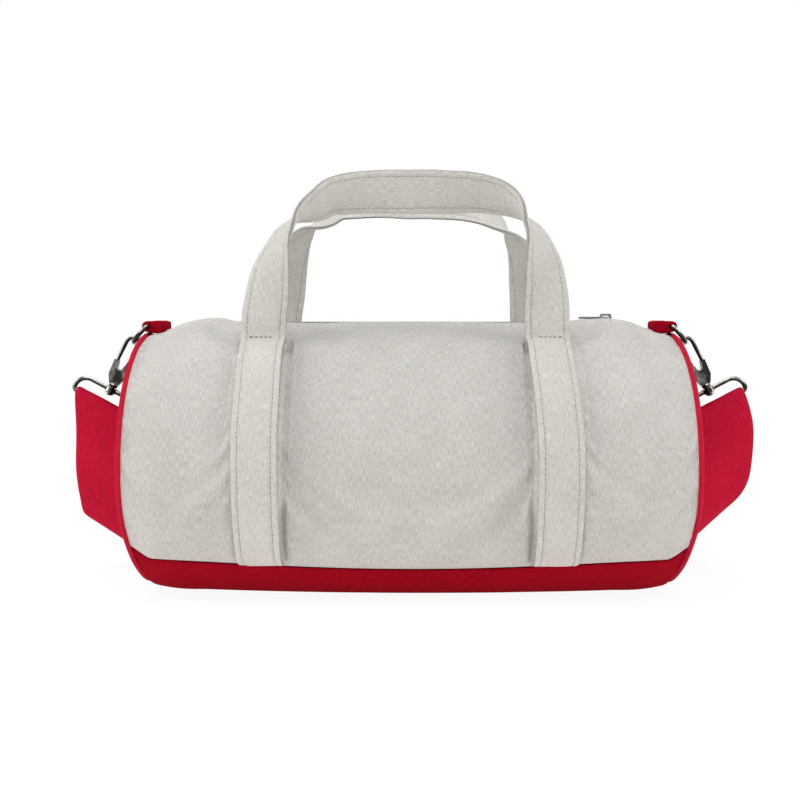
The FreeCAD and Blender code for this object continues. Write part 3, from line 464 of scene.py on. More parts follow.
def bandRail(stations, look, across, side):
    # places along one row of stitches on a band, with the way out of the cloth
    height = min(bandProfile(look), key=lambda spot: abs(spot[0] - across))[1]
    return [(station.spot(look, across, side * height), station.face * side) for station in stations]


def crossRail(station, look, side):
    # a row of stitches straight across a band
    half = look["width"] / 2 - look["stitchInsets"][0] - stitch["pitch"]
    height = side * look["thickness"] / 2
    return [(station.spot(look, across, height), station.face * side)
            for across in np.linspace(-half, half, bandForm["crossSteps"])]


# Stitches: each is a short thread that rises out of one needle hole and dives into the next

stitch = {
    "pitch": 0.0034, "cover": 0.58, "radius": 0.0005, "slant": 0.4, "proud": 0.00022, "dive": 0.0008,
    "sides": 6, "steps": [(-1.0, 0.45), (-0.72, 0.9), (0.0, 1.0), (0.72, 0.9), (1.0, 0.45)],
    "holeLength": 0.0013, "holeWidth": 0.0014, "holeRise": 0.00016, "holeDepth": 0.0004, "holeSides": 8,
}


def stitchSpots(rail, wait):
    # evenly spaced places on a rail, with the ways along it, beside it and out
    spots = []
    for (start, out), (stop, following) in zip(rail, rail[1:]):
        length = (stop - start).length
        ahead = (stop - start).normalized()
        while wait <= length:
            share = wait / length
            outward = out.lerp(following, share).normalized()
            spots.append((start.lerp(stop, share), ahead, outward.cross(ahead).normalized(), outward))
            wait += stitch["pitch"]
        wait -= length
    return spots


def stitchPieces(name, rails, finish):
    return [threadPiece(name + "Threads", rails, finish), holeShadePiece(name + "HoleShade", rails)]


def threadPiece(name, rails, finish):
    sides, steps = stitch["sides"], stitch["steps"]
    points, faces, weave = [], [], []
    for rail in rails:
        for place, ahead, beside, out in stitchSpots(rail, stitch["pitch"] / 2):
            run = (ahead + beside * stitch["slant"]).normalized()
            flank = out.cross(run).normalized()
            first = len(points)
            for at, girth in steps:
                middle = place + run * (at * stitch["pitch"] * stitch["cover"] / 2)
                middle = middle + out * (stitch["proud"] - stitch["dive"] * at ** 4)
                for corner in range(sides):
                    turn = 2 * pi * corner / sides
                    reach = flank * cos(turn) + out * sin(turn)
                    points.append(middle + reach * (stitch["radius"] * girth))
                    weave.append((corner * 0.0004, at * 0.002 + first * 0.0007, 0))
            faces += tubeFaces(len(steps), sides, first)
    return newPiece(name, points, faces, weave, finish)


def holeShadePiece(name, rails):
    # painted shade: a low dark lens in the cloth round each needle hole
    sides = stitch["holeSides"]
    points, faces, weave = [], [], []
    for rail in rails:
        for place, ahead, beside, out in stitchSpots(rail, 0.0):
            first = len(points)
            for corner in range(sides):
                turn = 2 * pi * corner / sides
                points.append(place + ahead * (stitch["holeLength"] * cos(turn))
                              + beside * (stitch["holeWidth"] * sin(turn)))
            points += [place + out * stitch["holeRise"], place - out * stitch["holeDepth"]]
            weave += [(first * 0.0003, corner * 0.0004, 0) for corner in range(sides + 2)]
            crest, pit = first + sides, first + sides + 1
            for corner in range(first, first + sides):
                following = first + (corner + 1 - first) % sides
                faces += [(corner, following, crest), (following, corner, pit)]
    return newPiece(name, points, faces, weave, "stitchShade")


def settle(piece, slot, body, *replaced):
    # a piece that rides on one body and stands for its solids
    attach(piece, body)
    if replaced:
        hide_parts(*replaced)
    return piece


# Barrel: the cross-section changes over a shoulder at each end

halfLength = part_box("front_panel")[1].x
barrel = {
    "midHeight": 0.2, "midSag": 0.005, "midFlat": 0.03,
    "endRadius": 0.094, "endLift": 0.002, "endSag": 0.003, "endFlat": 0.022, "shoulder": 0.037,
    # the base seam climbs towards both ends, and more steeply at the corners
    "midSeam": 0.0247, "seamClimb": 0.0078, "climbHalf": 0.175, "climbPower": 1.5,
    "seamCorner": 0.0085, "cornerRamp": (0.184, 0.014),
    "slotHalf": 0.01, "cloth": 0.0016,
    "tuck": 0.006, "tuckHeight": 0.075, "tuckRamp": (0.14, 0.06),
    # swells and dips of the top: place along the bag, spread, rise
    "topWaves": [(-0.184, 0.01, -0.004), (-0.15, 0.013, 0.0042), (-0.07, 0.025, -0.0009),
                 (0.0, 0.12, 0.0006), (0.075, 0.022, -0.0006), (0.146, 0.02, 0.0038),
                 (0.182, 0.012, -0.0044)],
    "slotShare": 0.75, "waveCrest": 0.02, "waveFade": 0.06,
}


def sectionAt(x):
    share = max(0.0, (abs(x) - halfLength) / barrel["shoulder"] + 1) ** 2
    height = blended(barrel["midHeight"], 2 * barrel["endRadius"], share)
    sag = blended(barrel["midSag"], barrel["endSag"], share)
    flat = blended(barrel["midFlat"], barrel["endFlat"], share)
    bottom = barrel["endLift"] * share
    roof = height / 2 + sag
    corner = height / 2 - flat ** 2 / (4 * sag)
    centre = bottom + height - roof
    cornerCentre = bottom + corner
    level = max(0.0, 1 - (x / barrel["climbHalf"]) ** 2) ** barrel["climbPower"]
    seam = barrel["midSeam"] + barrel["seamClimb"] * (1 - level)
    seam += barrel["seamCorner"] * ramp(abs(x), *barrel["cornerRamp"])
    return {
        "roof": roof, "centre": centre, "corner": corner, "cornerCentre": cornerCentre, "flat": flat,
        "slotAngle": asin(barrel["slotHalf"] / roof),
        "seamAngle": acos((seam - centre) / roof),
        "tangentAngle": pi - atan2(flat, centre - cornerCentre),
    }


def roofPoint(x, angle, lift=0.0):
    section = sectionAt(x)
    radius = section["roof"] + lift
    return Vector((x, -radius * sin(angle), section["centre"] + radius * cos(angle)))


def tucked(spot):
    # each end leans in towards the bottom
    low = eased(1 - spot.z / barrel["tuckHeight"]) * ramp(abs(spot.x), *barrel["tuckRamp"])
    return Vector((spot.x - copysign(barrel["tuck"] * low, spot.x), spot.y, spot.z))


def topWave(x, down):
    crest = barrel["waveCrest"]
    risen = humps(x, barrel["topWaves"]) * blended(barrel["slotShare"], 1.0, eased(down / crest))
    return risen * (1 - ramp(down, crest, barrel["waveFade"]))


def lengthStations(count, half, close=()):
    # closer together near the two ends, and within the close stretches
    marks = [half * sin(pi / 2 * share) for share in np.linspace(-1, 1, count)]
    for start, stop in close:
        marks = [mark for mark in marks if not start < mark < stop]
        marks += list(np.linspace(start, stop, panel["valleyColumns"]))
    return sorted(marks)


handle = {
    "leftX": -0.104, "rightX": 0.1025, "rightRootX": 0.099,
    "width": 0.032, "thickness": 0.0031, "plyGap": 0.002,
    "seat": 0.0003, "innerLift": 0.0046, "leanLength": 0.018, "footAngle": 0.016, "footRoll": (0.013, 0.005),
    "legTop": radians(38), "legSteps": 18, "rootDepth": 0.0532, "rootHeight": 0.18715,
    "rootProud": 0.0015, "rootStep": 0.0006, "pathStep": 0.0028, "blendBelow": 0.006, "blendAbove": 0.007,
    "stitchInsets": [0.0043], "grooveDepth": 0.0007, "ripple": (0.00045, 0.017, 3), "sway": (0.0005, 0.03, 8),
    # distance along the bag, forward of the root, height; then the way the inner edge points
    "leftArch": [
        ((-0.1033, 0.0005, 0.205), (1.0, -0.03, 0.0)),
        ((-0.1012, 0.001, 0.217), (0.98, -0.18, 0.02)),
        ((-0.0982, 0.002, 0.235), (0.88, -0.46, 0.06)),
        ((-0.0938, 0.0025, 0.25), (0.68, -0.73, 0.03)),
        ((-0.0884, 0.003, 0.262), (0.44, -0.89, -0.06)),
        ((-0.0818, 0.003, 0.2702), (0.2, -0.97, 0.0)),
        ((-0.0758, 0.003, 0.2748), (0.04, -0.96, 0.26)),
        ((-0.0698, 0.003, 0.2782), (-0.02, -0.88, 0.47)),
        ((-0.0628, 0.003, 0.282), (-0.04, -0.79, 0.61)),
        ((-0.0556, 0.003, 0.2866), (-0.03, -0.71, 0.7)),
        ((-0.0442, 0.003, 0.2893), (0.0, -0.59, 0.81)),
        ((-0.022, 0.003, 0.2905), (0.0, -0.49, 0.87)),
    ],
    "crown": ((0.0, 0.003, 0.2906), (0.0, -0.42, 0.9)),
    "rightArch": [
        ((0.0985, 0.0005, 0.206), (-1.0, -0.03, 0.0)),
        ((0.0976, 0.001, 0.222), (-0.95, -0.28, 0.03)),
        ((0.0957, 0.002, 0.238), (-0.86, -0.5, 0.05)),
        ((0.093, 0.0025, 0.2505), (-0.7, -0.7, 0.02)),
        ((0.0885, 0.003, 0.263), (-0.46, -0.88, -0.04)),
        ((0.0826, 0.003, 0.2712), (-0.22, -0.97, 0.02)),
        ((0.0778, 0.003, 0.2768), (-0.06, -0.96, 0.28)),
        ((0.0727, 0.003, 0.2814), (-0.01, -0.87, 0.5)),
        ((0.0662, 0.003, 0.2852), (0.0, -0.78, 0.62)),
        ((0.058, 0.003, 0.288), (0.0, -0.72, 0.7)),
        ((0.044, 0.003, 0.29), (0.0, -0.6, 0.8)),
        ((0.022, 0.003, 0.2906), (0.0, -0.49, 0.87)),
    ],
    # the band puffs up where it turns over at the two corners of the arch
    "cornerSwell": 0.65, "corner": (0.076, 0.266), "cornerSpread": 0.02,
    "backLean": 0.008, "backRise": 0.0048, "backTilt": -0.03, "archHeight": 0.105,
    "backDroops": [(-0.08, 0.034, 0.006), (0.086, 0.034, 0.0085)],  # place along the bag, spread, fall
}

panel = {
    "columns": 118, "rows": 80, "overlap": 0.0009,
    "endRoll": (0.0045, 0.0007), "seamRoll": (0.004, 0.001), "slotRoll": (0.0025, 0.001),
    # waves of the cloth: height, length of the lumps, seed
    "billow": (0.0011, 0.055, 1), "billowEdge": 0.03,
    "gathers": (1.0, 0.009, 4), "gatherStretch": 0.3, "gatherEdge": 0.004,
    "pucker": 0.00055, "puckerFade": 0.016, "ripple": 0.0003, "rippleFade": 0.05, "rippleEdge": 0.02,
    "valleyDepth": 0.0032, "valleyAway": 0.0014, "valleyWidth": 0.0018,
    "valleyReach": 0.007, "valleyColumns": 16, "valleyRamp": (0.036, 0.014), "valleyFoot": 0.012,
    "outerShare": 0.25, "outerNear": 0.0006, "heldInset": 0.003,
}


reach = handle["width"] / 2 + panel["valleyAway"]
valleys = {handle["leftX"] + reach: 1.0, handle["rightX"] - reach: 1.0,
           handle["leftX"] - reach + panel["outerNear"]: panel["outerShare"],
           handle["rightX"] + reach - panel["outerNear"]: panel["outerShare"]}


def legValley(x, down, up):
    # the panel sinks along both edges of each leg, most along the inner one
    rows = [(edge, panel["valleyWidth"], share) for edge, share in valleys.items()]
    depth = panel["valleyDepth"] * humps(x, rows)
    return depth * ramp(down, *panel["valleyRamp"]) * eased(up / panel["valleyFoot"])


def underLeg(x, angle):
    offset = min(abs(x - handle["leftX"]), abs(x - handle["rightX"]))
    return offset < handle["width"] / 2 - panel["heldInset"] and angle > handle["legTop"]


def panelLift(x, down, up, fromEnd, side):
    # how far the cloth stands out of the barrel's plain section
    lift = topWave(x, down) - rolledEdge(fromEnd, *panel["endRoll"])
    lift -= rolledEdge(up, *panel["seamRoll"]) + rolledEdge(down, *panel["slotRoll"])
    free = eased(min(fromEnd, up, down) / panel["billowEdge"])
    lift += free * lumps((x, down, side), *panel["billow"])
    gathers = lumps((x * panel["gatherStretch"], down, side), *panel["gathers"])
    gathers *= eased(fromEnd / panel["gatherEdge"])
    lift += gathers * panel["pucker"] * exp(-fromEnd / panel["puckerFade"])
    inside = eased(min(up, down) / panel["rippleEdge"])
    lift += gathers * panel["ripple"] * exp(-fromEnd / panel["rippleFade"]) * inside
    return lift - legValley(x, down, up)


def panelSheet(name, side):
    half = halfLength + panel["overlap"]
    close = [(edge - panel["valleyReach"], edge + panel["valleyReach"]) for edge in valleys]
    columns = lengthStations(panel["columns"], half, close)
    points, weave, held = [], [], []
    for row in range(panel["rows"]):
        for column, x in enumerate(columns):
            section = sectionAt(x)
            angle = blended(section["slotAngle"], section["seamAngle"], row / (panel["rows"] - 1))
            down = (angle - section["slotAngle"]) * section["roof"]
            up = (section["seamAngle"] - angle) * section["roof"]
            lift = panelLift(x, down, up, half - abs(x), side)
            points.append(tucked(roofPoint(x, side * angle, lift)))
            weave.append((x, down, 0))
            edge = row in (0, 1, panel["rows"] - 2, panel["rows"] - 1)
            if edge or column in (0, 1, len(columns) - 2, len(columns) - 1) or underLeg(x, angle):
                held.append(len(points) - 1)
    faces = gridFaces(panel["rows"], len(columns), flip=side > 0)
    piece = newPiece(name, points, faces, weave, "canvas")
    puffed(piece, held)
    return thickened(piece, barrel["cloth"])


puff = {
    "cloth": {
        "vertex_group_mass": "held", "quality": 6, "mass": 0.35, "tension_stiffness": 30,
        "compression_stiffness": 30, "shear_stiffness": 12, "bending_stiffness": 3,
        "use_pressure": True, "uniform_pressure_force": 2.2, "shrink_min": -0.006,
    },
    "gravity": 0.3, "frames": 18, "cap": 0.003,
}


def puffed(piece, held):
    # the cloth swells between its seams and the rows of stitches that hold it down
    rest = np.array([vertex.co for vertex in piece.data.vertices])
    normals = np.array([vertex.normal for vertex in piece.data.vertices])
    piece.vertex_groups.new(name="held").add(held, 1.0, "REPLACE")
    cloth = piece.modifiers.new("puff", "CLOTH")
    for key, value in puff["cloth"].items():
        setattr(cloth.settings, key, value)
    cloth.settings.effector_weights.gravity = puff["gravity"]
    cloth.collision_settings.use_collision = False
    for step in range(1, puff["frames"] + 1):
        scene.frame_set(step)
    graph = bpy.context.evaluated_depsgraph_get()
    moved = np.array([vertex.co for vertex in piece.evaluated_get(graph).data.vertices])
    piece.modifiers.clear()
    piece.vertex_groups.clear()
    scene.frame_set(1)
    swell = np.clip(((moved - rest) * normals).sum(1), -puff["cap"], puff["cap"])
    for vertex, spot in zip(piece.data.vertices, rest + normals * swell[:, None]):
        vertex.co = spot
    least, most = (round(float(value) * 1000, 2) for value in (swell.min(), swell.max()))
    print(piece.name, "swells by", least, "to", most, "mm")


for sideName, side in frontAndBack:
    sheet = panelSheet(sideName + "CanvasPanel", side)
    settle(sheet, "canvas", "bag", sideName + "_panel")
print("canvas panels made")


# Base: one red piece from the front seam, under the bottom, to the back seam

base = {
    "columns": 120, "sideRows": 9, "cornerRows": 13, "flatRows": 8,
    "endRoll": (0.005, 0.0016), "seamRoll": (0.003, 0.0002),
    "pucker": (0.0003, 0.013, 7), "puckerFade": 0.012,
    "fullness": 0.0026, "fullEdge": 0.016, "fullHalf": 0.15,
    "sag": 0.0004, "sagEdge": 0.02, "slump": (0.5, 0.06, 9),
}


def basePath(x):
    # y, z and the way out at each row: roof arc, corner arc, flat bottom, and the same at the back
    section = sectionAt(x)
    side = np.linspace(section["seamAngle"], section["tangentAngle"], base["sideRows"])
    corner = np.linspace(section["tangentAngle"], pi, base["cornerRows"])[1:]
    spots = []
    for angles, aside, centre, radius in (
            (side, 0.0, section["centre"], section["roof"]),
            (corner, section["flat"], section["cornerCentre"], section["corner"])):
        for outY, outZ in zip(-np.sin(angles), np.cos(angles)):
            spots.append((radius * outY - aside, centre + radius * outZ, outY, outZ))
    for share in np.linspace(1, 0, base["flatRows"])[1:]:
        spots.append((-section["flat"] * share, spots[-1][1], 0.0, -1.0))
    back = [(-y, z, -outY, outZ) for y, z, outY, outZ in reversed(spots[:-1])]
    return spots + back


def baseSheet():
    half = halfLength + panel["overlap"]
    columns = lengthStations(base["columns"], half)
    paths = [basePath(x) for x in columns]
    rows = len(paths[0])
    points, weave = [], []
    for row in range(rows):
        for x, path in zip(columns, paths):
            run = [dist(path[n][:2], path[n + 1][:2]) for n in range(rows - 1)]
            fromSeam = min(sum(run[:row]), sum(run[row:]))
            y, z, outY, outZ = path[row]
            lift = -rolledEdge(half - abs(x), *base["endRoll"]) - rolledEdge(fromSeam, *base["seamRoll"])
            lift += exp(-fromSeam / base["puckerFade"]) * lumps((x, 0, y), *base["pucker"])
            belly = max(0.0, 1 - (x / base["fullHalf"]) ** 2)
            lift += base["fullness"] * eased(fromSeam / base["fullEdge"]) * belly
            slump = base["slump"][0] + lumps((x, y, 0), *base["slump"])
            lift -= base["sag"] * eased(fromSeam / base["sagEdge"]) * slump
            points.append(tucked(Vector((x, y + outY * lift, max(z + outZ * lift, 0.0)))))
            weave.append((x, sum(run[:row]), 0))
    faces = gridFaces(rows, base["columns"], flip=True)
    return thickened(newPiece("redBase", points, faces, weave, "redCanvas"), barrel["cloth"])


settle(baseSheet(), "red_canvas", "bag", "base_panel")


# Round ends: a domed red panel inside a ring of piping that follows the end of the barrel

ends = {
    "outlineSteps": 60, "rings": 26, "spokes": 144, "leastShare": 0.004, "ringPower": 0.8, "rimShare": 0.3,
    "dome": 0.004, "rimRoll": (0.006, 0.0022), "billow": (0.001, 0.06, 2), "pucker": (0.0007, 0.012, 6),
    "puckerFade": 0.018,
}
piping = {
    "radius": 0.0019, "inset": 0.0012, "insetPlay": (0.0003, 0.02, 3), "lowInset": 0.0028, "lowHeight": 0.035,
    "girthPlay": (0.06, 0.012, 8), "girthTurn": 0.01, "sides": 14, "steps": 300,
}
endCentre = barrel["endLift"] + barrel["endRadius"]
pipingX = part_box("right_piping")[0].x + piping["radius"]


def endOutline(count):
    # evenly spaced places (y, z, out) round the end of the barrel, from the top to the front
    section = sectionAt(halfLength)
    front = []
    for angle in np.linspace(0, section["seamAngle"], ends["outlineSteps"], endpoint=False):
        spot = roofPoint(halfLength, angle)
        front.append((spot.y, spot.z, -sin(angle), cos(angle)))
    below = basePath(halfLength)
    back = [(-y, z, -outY, outZ) for y, z, outY, outZ in reversed(front[1:])]
    loop = np.array(front + below + back + front[:1])
    run = np.concatenate([[0], np.cumsum(np.linalg.norm(np.diff(loop[:, :2], axis=0), axis=1))])
    marks = np.linspace(0, run[-1], count, endpoint=False)
    return np.stack([np.interp(marks, run, loop[:, column]) for column in range(4)], axis=1), run[-1]


def endPanel(name, outward):
    outline, _ = endOutline(ends["spokes"])
    reach = piping["inset"] + piping["radius"] * ends["rimShare"]
    points, weave = [], []
    for ring in range(ends["rings"]):
        share = max(ring / (ends["rings"] - 1), ends["leastShare"]) ** ends["ringPower"]
        for y, z, outY, outZ in outline:
            rimY, rimZ = y - outY * reach, z - outZ * reach - endCentre
            y, z, inset = rimY * share, rimZ * share, hypot(rimY, rimZ) * (1 - share)
            dome = ends["dome"] * (1 - share ** 2) - rolledEdge(inset, *ends["rimRoll"])
            dome += exp(-inset / ends["puckerFade"]) * lumps((y, z, 0), *ends["pucker"])
            dome += (1 - share ** 4) * lumps((y, z, outward), *ends["billow"])
            points.append(tucked(Vector((outward * (pipingX + dome), y, endCentre + z))))
            weave.append((y, z, 0))
    faces = gridFaces(ends["rings"], ends["spokes"], closed=True, flip=outward > 0)
    faces.append(tuple(range(ends["spokes"]))[::1 if outward > 0 else -1])
    piece = newPiece(name, points, faces, weave, "redCanvas")
    return thickened(piece, barrel["cloth"], rounds=0)


def pipingCord(name, outward):
    sides, steps = piping["sides"], piping["steps"]
    outline, length = endOutline(steps)
    points, weave = [], []
    for step, (y, z, outY, outZ) in enumerate(outline):
        out = Vector((0, outY, outZ)).normalized()
        inset = piping["inset"] + lumps((0, y, z), *piping["insetPlay"])
        inset += piping["lowInset"] * eased(1 - z / piping["lowHeight"])
        middle = Vector((outward * pipingX, y, z)) - out * inset
        for corner in range(sides):
            around = 2 * pi * corner / sides
            swelling = lumps((y, z, around * piping["girthTurn"]), *piping["girthPlay"])
            girth = piping["radius"] * (1 + swelling)
            point = tucked(middle) + out * (girth * cos(around))
            points.append(point + Vector((girth * sin(around), 0, 0)))
            weave.append((around * girth, step / steps * length, 0))
    # the last ring of points joins the first
    faces = gridFaces(steps + 1, sides, closed=True)
    faces = [tuple(corner % len(points) for corner in face) for face in faces]
    return newPiece(name, points, faces, weave, "redPiping")


for sideName, outward in leftAndRight:
    settle(endPanel(sideName + "EndPanel", outward), "red_canvas", "bag", sideName + "_end_panel")
    settle(pipingCord(sideName + "PipingCord", outward), "red_piping", "bag", sideName + "_piping")
print("base, ends and piping made")


# Carrying handles: one band from seam to seam, sewn down as legs and free between the roots

def legRows(x, rootX, inward):
    # from under the base seam up to the root; the inner edge stands a little off the panel
    section = sectionAt(x)
    low, high = section["seamAngle"] + handle["footAngle"], handle["legTop"]
    rows = []
    for angle in np.linspace(low, high, handle["legSteps"]):
        run = (low - angle) * section["roof"]
        lean = handle["innerLift"] * eased(run / handle["leanLength"])
        seat = handle["thickness"] / 2 + handle["seat"] + lean / 2 - rolledEdge(run, *handle["footRoll"])
        edge = (inward, -sin(angle) * lean / handle["width"], cos(angle) * lean / handle["width"])
        upward = eased((low - angle) / (low - high) * 2 - 1)
        rows.append((*roofPoint(blended(x, rootX, upward), angle, seat), *edge))
    rows.append((rootX, -handle["rootDepth"] - handle["rootProud"], handle["rootHeight"] + handle["rootStep"],
                 inward, 0.0, 0.0))
    return rows


def handlePath(side):
    rows = legRows(handle["leftX"], handle["leftX"], 1.0)
    for (x, forward, z), edge in handle["leftArch"] + [handle["crown"]] + handle["rightArch"][::-1]:
        rows.append((x, -handle["rootDepth"] - forward, z, *edge))
    rows += legRows(handle["rightX"], handle["rightRootX"], -1.0)[::-1]
    made = []
    for x, y, z, edgeX, edgeY, edgeZ in rows:
        fromCorner = dist((abs(x), z), handle["corner"]) / handle["cornerSpread"]
        swell = 1 + handle["cornerSwell"] * exp(-fromCorner ** 2)
        if side < 0:
            risen = eased((z - handle["rootHeight"]) / handle["archHeight"])
            y += handle["backLean"] * risen
            z += (handle["backRise"] + handle["backTilt"] * x - humps(x, handle["backDroops"])) * risen
        made.append((x, side * y, z, edgeX, side * edgeY, edgeZ, swell, 1.0))
    return made


def rootStation(stations, sign):
    offSide = [station for station in stations if station.place.x * sign > 0]
    return min(offSide, key=lambda station: abs(station.place.z - handle["rootHeight"]))


for sideName, side in frontAndBack:
    stations = bandStations(smoothPath(handlePath(side), handle["pathStep"]))
    row = handle["width"] / 2 - handle["stitchInsets"][0]
    rails = [bandRail(stations, handle, sign * row, face) for sign in (-1, 1) for face in (-1, 1)]
    rails += [crossRail(rootStation(stations, sign), handle, face) for sign in (-1, 1) for face in (-1, 1)]
    band = bandPiece(sideName + "HandleBand", stations, handle, "handleCanvas")
    legs = [sideName + "_left_handle_leg", sideName + "_right_handle_leg"]
    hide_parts(sideName + "_handle", *legs)
    for piece in [band] + stitchPieces(sideName + "Handle", rails, "creamThread"):
        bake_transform(piece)
print("handles made")


# Zip: a tape on each side of the slot, topstitched through the panel

zipper = {
    "inner": 0.0027, "outer": 0.016, "thickness": 0.0008, "rows": 7, "columns": 120, "endGap": 0.002,
    "chainStart": -0.1588, "chainStop": 0.159, "closing": 0.004, "shut": 0.0001,
    "dipRamp": (0.004, 0.006), "under": 0.0009,
    "topstitch": 0.0034, "stitchSunk": 0.0014, "stitchedHalf": 0.178, "railSteps": 120,
}


def zipTapeSheet(name, side):
    rows, columns = zipper["rows"], zipper["columns"]
    half = halfLength - zipper["endGap"]
    points, weave = [], []
    for row in range(rows):
        for x in np.linspace(-half, half, columns):
            beyond = max(zipper["chainStart"] - x, x - zipper["chainStop"], 0.0)
            inner = blended(zipper["inner"], zipper["shut"], eased(beyond / zipper["closing"]))
            depth = blended(inner, zipper["outer"], row / (rows - 1))
            angle = asin(depth / sectionAt(x)["roof"])
            dip = topWave(x, 0.0) * ramp(depth, *zipper["dipRamp"])
            points.append(roofPoint(x, side * angle, dip - barrel["cloth"] - zipper["under"]))
            weave.append((x, depth, 0))
    faces = gridFaces(rows, columns, flip=side > 0)
    return thickened(newPiece(name, points, faces, weave, "zipTape"), zipper["thickness"], rounds=0)


for sideName, side in frontAndBack:
    settle(zipTapeSheet(sideName + "ZipTape", side), "zip_tape", "bag", sideName + "_zip_tape")
    rail = []
    for x in np.linspace(-zipper["stitchedHalf"], zipper["stitchedHalf"], zipper["railSteps"]):
        angle = sectionAt(x)["slotAngle"] + zipper["topstitch"] / sectionAt(x)["roof"]
        out = Vector((0, -side * sin(angle), cos(angle)))
        lift = topWave(x, zipper["topstitch"]) - zipper["stitchSunk"]
        rail.append((roofPoint(x, side * angle, lift), out))
    for piece in stitchPieces(sideName + "Zip", [rail], "creamThread"):
        settle(piece, "canvas", "bag")
print("zip made")


# Ring tabs: a red band folded round the ring's bar and sewn down flat to the top

tab = {
    "halfWidth": 0.0125, "barX": halfLength + 0.001, "barZ": 0.19565,
    "hole": 0.00205, "cloth": 0.002, "holeRows": 5, "foldStep": 15, "weld": 0.000001,
    # side outline from the inner end's foot, along the bottom; outward and up from the ring's bar
    "outline": [(-0.0128, -0.0028), (-0.0121, -0.0046), (-0.009, -0.0056), (-0.0045, -0.0052)],
    "top": [(-0.0045, 0.0041), (-0.0085, 0.004), (-0.0113, 0.0039), (-0.0124, 0.0034), (-0.0129, 0.0024),
            (-0.013, 0.0002)],
    # across the tab: share of the half width, then how far the outline draws in
    "edges": [(-1.0, 0.0009), (-0.985, 0.0003), (-0.95, 0.0), (-0.5, 0.0), (0.0, 0.0), (0.5, 0.0),
              (0.95, 0.0), (0.985, 0.0003), (1.0, 0.0009)],
    "stitchInset": 0.0022, "stitchRows": (-0.0104, -0.0055), "stitchHeight": 0.004, "sunk": 0.0002,
    "stitchSteps": 9,
}


def tabPiece(name, outward):
    turns = [radians(degrees) for degrees in range(-90, 91, tab["foldStep"])]
    fold = tab["hole"] + tab["cloth"]
    loop = tab["outline"] + [(fold * cos(turn), fold * sin(turn)) for turn in turns] + tab["top"]
    angles = [atan2(z, x) for x, z in loop]
    # rings along the outside, then back through the hole to the first: outward, up and run of each point
    rings = [(share, [(x - draw * cos(angle), z - draw * sin(angle), x + z)
                      for (x, z), angle in zip(loop, angles)]) for share, draw in tab["edges"]]
    bore = [(tab["hole"] * cos(angle), tab["hole"] * sin(angle), tab["hole"] * angle) for angle in angles]
    rings += [(share, bore) for share in np.linspace(1, -1, tab["holeRows"])] + rings[:1]
    points, weave = [], []
    for share, ring in rings:
        across = share * tab["halfWidth"]
        points += [(outward * (tab["barX"] + x), across, tab["barZ"] + z) for x, z, _ in ring]
        weave += [(across, run, 0) for _, _, run in ring]
    faces = gridFaces(len(rings), len(loop), closed=True, flip=outward > 0)
    piece = newPiece(name, points, faces, weave, "redCanvas")
    piece.modifiers.new("weld", "WELD").merge_threshold = tab["weld"]
    return applied(piece)


def tabRail(x, outward):
    half = tab["halfWidth"] - tab["stitchInset"]
    height = tab["barZ"] + tab["stitchHeight"] - tab["sunk"]
    return [(Vector((outward * (tab["barX"] + x), y, height)), Vector((0, 0, 1)))
            for y in np.linspace(-half, half, tab["stitchSteps"])]


for sideName, outward in leftAndRight:
    settle(tabPiece(sideName + "TabBand", outward), "red_canvas", "bag", sideName + "_ring_tab")
    rails = [tabRail(x, outward) for x in tab["stitchRows"]]
    for piece in stitchPieces(sideName + "Tab", rails, "redThread"):
        settle(piece, "red_canvas", "bag")
print("ring tabs made")


# Shoulder strap: two halves that meet behind the bag, each bent by the ring that holds it

strap = {
    "width": 0.048, "thickness": 0.0018, "plyGap": -0.0004, "eyeBar": Vector((0.2359, 0, 0.13542)),
    "tilt": radians(62), "fold": 0.00315, "foldSpread": 0.95, "foldStep": 30, "ply": 0.00105,
    "runDepth": 0.122, "runHeight": 0.025, "pathStep": 0.003, "stillLength": 0.03,
    "blendBack": 0.02, "blendLow": 0.075, "blendHigh": 0.02,
    "stitchInsets": [], "grooveDepth": 0.0, "ripple": (0.0004, 0.017, 21), "sway": (0.0005, 0.03, 26),
    # outward, back and down from the eye's bar; then the way to the outer edge, in half widths
    "rightDrop": [
        ((0.006, 0.001, 0.024), (0.97, 0.08, 0.37)),
        ((0.008, 0.003, 0.05), (0.97, 0.26, 0.29)),
        ((0.008, 0.006, 0.076), (0.84, 0.16, 0.57)),
        ((0.004, 0.016, 0.092), (0.74, 0.0, 0.7)),
        ((0.0015, 0.036, 0.0955), (0.68, 0.0, 0.73)),
        ((-0.004, 0.066, 0.102), (0.38, 0.0, 0.92)),
    ],
    "leftDrop": [
        ((0.001, 0.001, 0.024), (0.86, 0.04, 0.34)),
        ((0.0018, 0.003, 0.052), (0.95, 0.2, 0.22)),
        ((0.0005, 0.006, 0.08), (0.92, 0.1, 0.38)),
        ((0.0, 0.015, 0.101), (0.85, 0.0, 0.53)),
        ((-0.003, 0.036, 0.106), (0.72, 0.0, 0.69)),
        ((-0.008, 0.066, 0.108), (0.38, 0.0, 0.92)),
    ],
    "turn": [
        ((-0.018, 0.096, 0.11), (0.05, 0.0, 1.0)),
        ((-0.044, 0.113, 0.11), (0.0, 0.0, 1.0)),
        ((-0.078, 0.12, 0.11), (0.0, 0.0, 1.0)),
    ],
}


